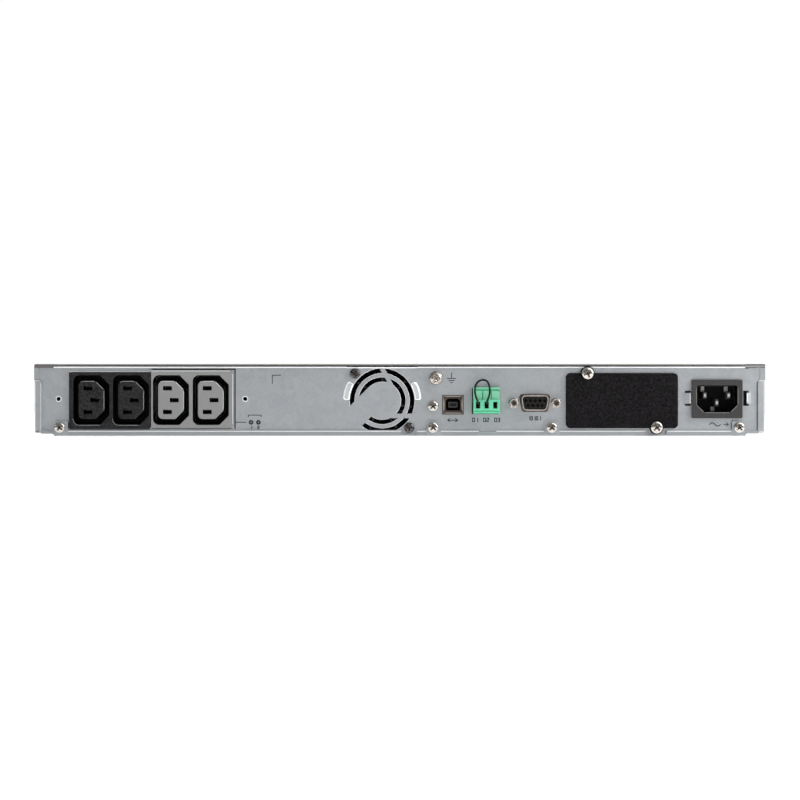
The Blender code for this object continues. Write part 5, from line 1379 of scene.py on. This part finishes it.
def make_panel_marks():
    """Generic signs and numbers where the panel has its printing."""
    y = (PANEL_FACE - 0.05, PANEL_FACE + 0.05)
    bold = [((-146.5, 39.7), (-97.4, 39.7)), ((-97.3, 39.6), (-97.3, 4.9))]
    plain = [
        ((-96.8, 8.4), (-91.0, 8.4)), ((-75.3, 36.2), (-70.4, 36.2)),
        ((-75.3, 36.2), (-75.3, 31.4)), ((30.6, 37.5), (30.6, 34.3)), ((28.1, 34.3), (33.1, 34.3)),
        ((29.0, 33.1), (32.2, 33.1)), ((30.0, 31.9), (31.2, 31.9)), ((28.4, 9.6), (34.2, 9.6)),
        ((28.4, 9.6), (29.6, 10.5)), ((28.4, 9.6), (29.6, 8.7)), ((34.2, 9.6), (33.0, 10.5)),
        ((34.2, 9.6), (33.0, 8.7)), ((-89.4, 12.6), (-81.9, 12.6)), ((-89.4, 12.6), (-89.4, 11.6)),
        ((-81.9, 12.6), (-81.9, 11.6)), ((191.6, 7.1), (194.2, 7.1)), ((194.2, 7.1), (193.2, 8.0)),
        ((194.2, 7.1), (193.2, 6.2)),
    ]
    wave = [(183.0 + 0.3 * i, 7.1 + 1.0 * math.sin(2 * math.pi * i / 22)) for i in range(23)]
    plain += list(zip(wave, wave[1:]))
    for text, place in (("1", (-87.8, 5.3)), ("2", (-83.5, 5.3))):
        plain += number(text, place, (0.8, 1.6))
    for text, place in (("01", (44.6, 9.8)), ("02", (51.1, 9.8)), ("03", (57.6, 9.8))):
        plain += number(text, place, (1.1, 2.1))
    plain += number("10101", (79.6, 10.7), (0.9, 2.0))
    icons = []
    for x in (-87.8, -83.5):
        arrow = [(-0.75, -0.35), (0.0, 0.35), (-0.3, 0.65), (0.75, 0.75), (0.65, -0.3),
                 (0.3, 0.0), (-0.4, -0.7)]
        holes = [[(x + 0.6 * u, 8.35 + 0.6 * v) for u, v in arrow]]
        icons.append(prism(circle((x, 8.35), 1.4, 32), *y, holes=holes))
    marks = merged(strokes(bold, 0.75, y) + strokes(plain, 0.46, y) + icons)
    piece("panel_marks", marks, INK)


# ---------------------------------------------------------------- front


def make_front_details():
    """The display's glyphs, lamps, key caps, power button and their signs."""
    y = (BEZEL_FRONT - 0.05, BEZEL_FRONT + 0.04)
    left, right, low, high = DISPLAY
    on_display = (DISPLAY_FACE - 0.05, DISPLAY_FACE + 0.05)
    glyphs = number("230", (right - 13, high - 6), (4.0, 7.0), -1)
    glyphs += number("50", (left + 16, high - 6), (4.0, 7.0), -1)
    bars = [
        rect(right - 6 - 4.4 * i, right - 3 - 4.4 * i, low + 2, low + 3.2 + i) for i in range(5)
    ]
    bars.append(rect(left + 6, left + 30, low + 2, low + 3))
    shapes = strokes(glyphs, 0.9, on_display) + [prism(bar, *on_display) for bar in bars]
    piece("display_glyphs", merged(shapes), GLYPH, slot="display_glass")
    lamps = {"mains": (136.0, LAMP_GREEN), "battery": (149.0, LAMP_AMBER),
             "fault": (162.0, LAMP_AMBER), "output": (175.0, LAMP_GREEN)}
    dome = [(0, 0.45), (0.7, 0.38), (1.15, 0.15), (1.3, -0.3), (0, -0.3)]
    for word, (x, finish) in lamps.items():
        piece(f"lamp_{word}", turned(dome, (x, 28.0), BEZEL_FRONT, sides=28), finish)
    ticks = [((x - 3.0, 24.6), (x + 3.0, 24.6)) for x, _ in lamps.values()]
    line_piece("bezel_marks", ticks, 0.35, y, FRONT_INK)

    signs = {
        "key_escape": [((-1.3, -1.3), (1.3, 1.3)), ((-1.3, 1.3), (1.3, -1.3))],
        "key_down": [((-1.7, 0.9), (0, -1.1)), ((0, -1.1), (1.7, 0.9))],
        "key_up": [((-1.7, -0.9), (0, 1.1)), ((0, 1.1), (1.7, -0.9))],
        "key_enter": [((-1.6, 0), (-0.4, -1.3)), ((-0.4, -1.3), (1.7, 1.3))],
    }
    for name, x in KEYS.items():
        cap = rounded(centred((x, KEY_Z), (8.6, 5.4)), 1.2, 5)
        top = rounded(centred((x, KEY_Z), (7.6, 4.4)), 0.9, 5)
        shape = loft([(cap, BUTTON_ROOT), (cap, KEY_FACE - 0.5), (top, KEY_FACE - 0.12)])
        piece(name + "_cap", shape, "button_plastic", name, name, bevel=0.12)
        lines = [tuple((x - u, KEY_Z + v) for u, v in line) for line in signs[name]]
        face = (KEY_FACE - 0.2, KEY_FACE - 0.08)
        line_piece(name + "_sign", lines, 0.45, face, FRONT_INK, name)
    x, z = POWER
    profile = [(0, 14.9), (3.6, 14.95), (5.3, 15.2), (5.8, 15.1), (6.2, 14.6), (6.2, 0), (0, 0)]
    shape = turned(profile, POWER, BUTTON_ROOT, sides=64)
    piece("power_cap", shape, "button_plastic", "power_button", "power_button")
    arc = [math.radians(125 + 290 * i / 28) for i in range(29)]
    arc = [(x + 2.2 * math.cos(a), z + 2.2 * math.sin(a)) for a in arc]
    lines = [*zip(arc, arc[1:]), ((x, z + 0.6), (x, z + 3.0))]
    face = (BUTTON_ROOT + 14.85, BUTTON_ROOT + 15.0)
    line_piece("power_sign", lines, 0.5, face, FRONT_INK, "power_button")


def carry_the_rest():
    """The CAD nodes that keep their shape, each with its finish and the width of its edges."""
    plain = {
        "front_plate": ("galvanised_steel", 0.12),
        "rack_ear_left": ("black_powder_coat", 0.3),
        "rack_ear_right": ("black_powder_coat", 0.3),
        "fan_frame": ("fan_plastic", 0.3),
        "fan_rotor": ("fan_plastic", 0.2),
        "drawer_fascia": ("front_plastic", 0.3),
        "control_bezel": ("front_plastic", 0.3),
        "display_module": ("display_glass", 0.2),
        "display_window": ("clear_window", 0.3),
        "battery_tray": ("galvanised_steel", 0.12),
        "battery_left": ("battery_case", 0.4),
        "battery_right": ("battery_case", 0.4),
        "battery_plug": ("connector_black", 0.3),
        "battery_socket": ("socket_grey", 0.3),
        "transformer_core": ("lamination_steel", 0.2),
        "transformer_winding": ("winding", 0.4),
        "main_board": ("circuit_board", 0.1),
        "comm_board": ("circuit_board", 0.1),
        "control_board": ("circuit_board", 0.1),
        "heatsink": ("heatsink_aluminium", 0.15),
        "capacitor": ("battery_case", 0.3),
        "choke": ("winding", 0.3),
    }
    for node, (finish, bevel) in plain.items():
        carry(node, finish, bevel)


# ---------------------------------------------------------------- studio


def make_floor():
    """The white floor that the unit stands on in its pictures."""
    mesh = prism(centred((0, 0), (FLOOR_WIDE, FLOOR_WIDE)), -1.0, 0.0, "Z")
    mesh.transform(Matrix.Scale(MM, 4))
    mesh.materials.append(
        surface(
            "studio_floor", (0.93, 0.93, 0.93), 0.9, tones="noise 2 0.004",
            Emission_Color=(1, 1, 1, 1), Emission_Strength=0.74,
        )
    )
    floor = placed("studio_floor", mesh)


def area_light(name, place, aim, size, power):
    data = bpy.data.lights.new(name, "AREA")
    data.shape = "RECTANGLE"
    data.size, data.size_y = size
    data.energy = power
    lamp = placed(name, data)
    lamp.location = place
    lamp.rotation_mode = "QUATERNION"
    lamp.rotation_quaternion = (Vector(aim) - Vector(place)).to_track_quat("-Z", "Y")


def make_studio():
    """Six soft lights, a sky that gets lighter upwards, and white behind it all."""
    area_light("key", (1.5, -1.1, 1.1), (0, -0.15, 0.02), (0.9, 0.9), 8.5)
    area_light("side", (0.95, -0.60, 0.45), (0.1, -0.18, 0.02), (0.4, 0.4), 6)
    area_light("overhead", (0.7, -0.35, 1.3), (0.2, -0.1, 0), (1.4, 0.8), 6)
    area_light("fill", (-1.4, -1.0, 0.5), (0, -0.1, 0.02), (0.35, 0.35), 0.7)
    area_light("glint", (0.45, -0.85, 0.75), (0.15, -0.18, 0.02), (0.6, 0.25), 1.1)
    area_light("front", (-0.9, 1.6, 1.2), (0, 0.1, 0.02), (1.4, 0.9), 14)
    world = bpy.data.worlds.new("studio")
    world.use_nodes = True
    bpy.context.scene.world = world
    tree = world.node_tree
    nodes, links = tree.nodes, tree.links
    nodes.clear()
    place = nodes.new("ShaderNodeTexCoord")
    split = nodes.new("ShaderNodeSeparateXYZ")
    links.new(place.outputs["Generated"], split.inputs[0])
    ramp = nodes.new("ShaderNodeMapRange")
    fill(ramp, From_Min=0.0, From_Max=0.9, To_Min=0.03, To_Max=0.41)
    links.new(split.outputs["Z"], ramp.inputs["Value"])
    light = nodes.new("ShaderNodeBackground")
    links.new(ramp.outputs["Result"], light.inputs["Strength"])
    white = nodes.new("ShaderNodeBackground")
    fill(white, Color=(1, 1, 1, 1), Strength=1.02)
    fill(light, Color=(0.97, 0.985, 1, 1))
    path = nodes.new("ShaderNodeLightPath")
    mix = nodes.new("ShaderNodeMixShader")
    links.new(path.outputs["Is Camera Ray"], mix.inputs[0])
    links.new(light.outputs[0], mix.inputs[1])
    links.new(white.outputs[0], mix.inputs[2])
    output = nodes.new("ShaderNodeOutputWorld")
    links.new(mix.outputs[0], output.inputs["Surface"])
    bpy.context.scene.view_settings.view_transform = "Standard"


for make in (
    make_camera, make_jumper, make_floor, make_studio, make_base, make_cover, make_panel,
    make_screws, make_outlets, make_inlet, make_data_socket, make_serial_socket, make_signal,
    make_slot_cover, make_panel_marks, make_front_details, carry_the_rest,
):
    make()
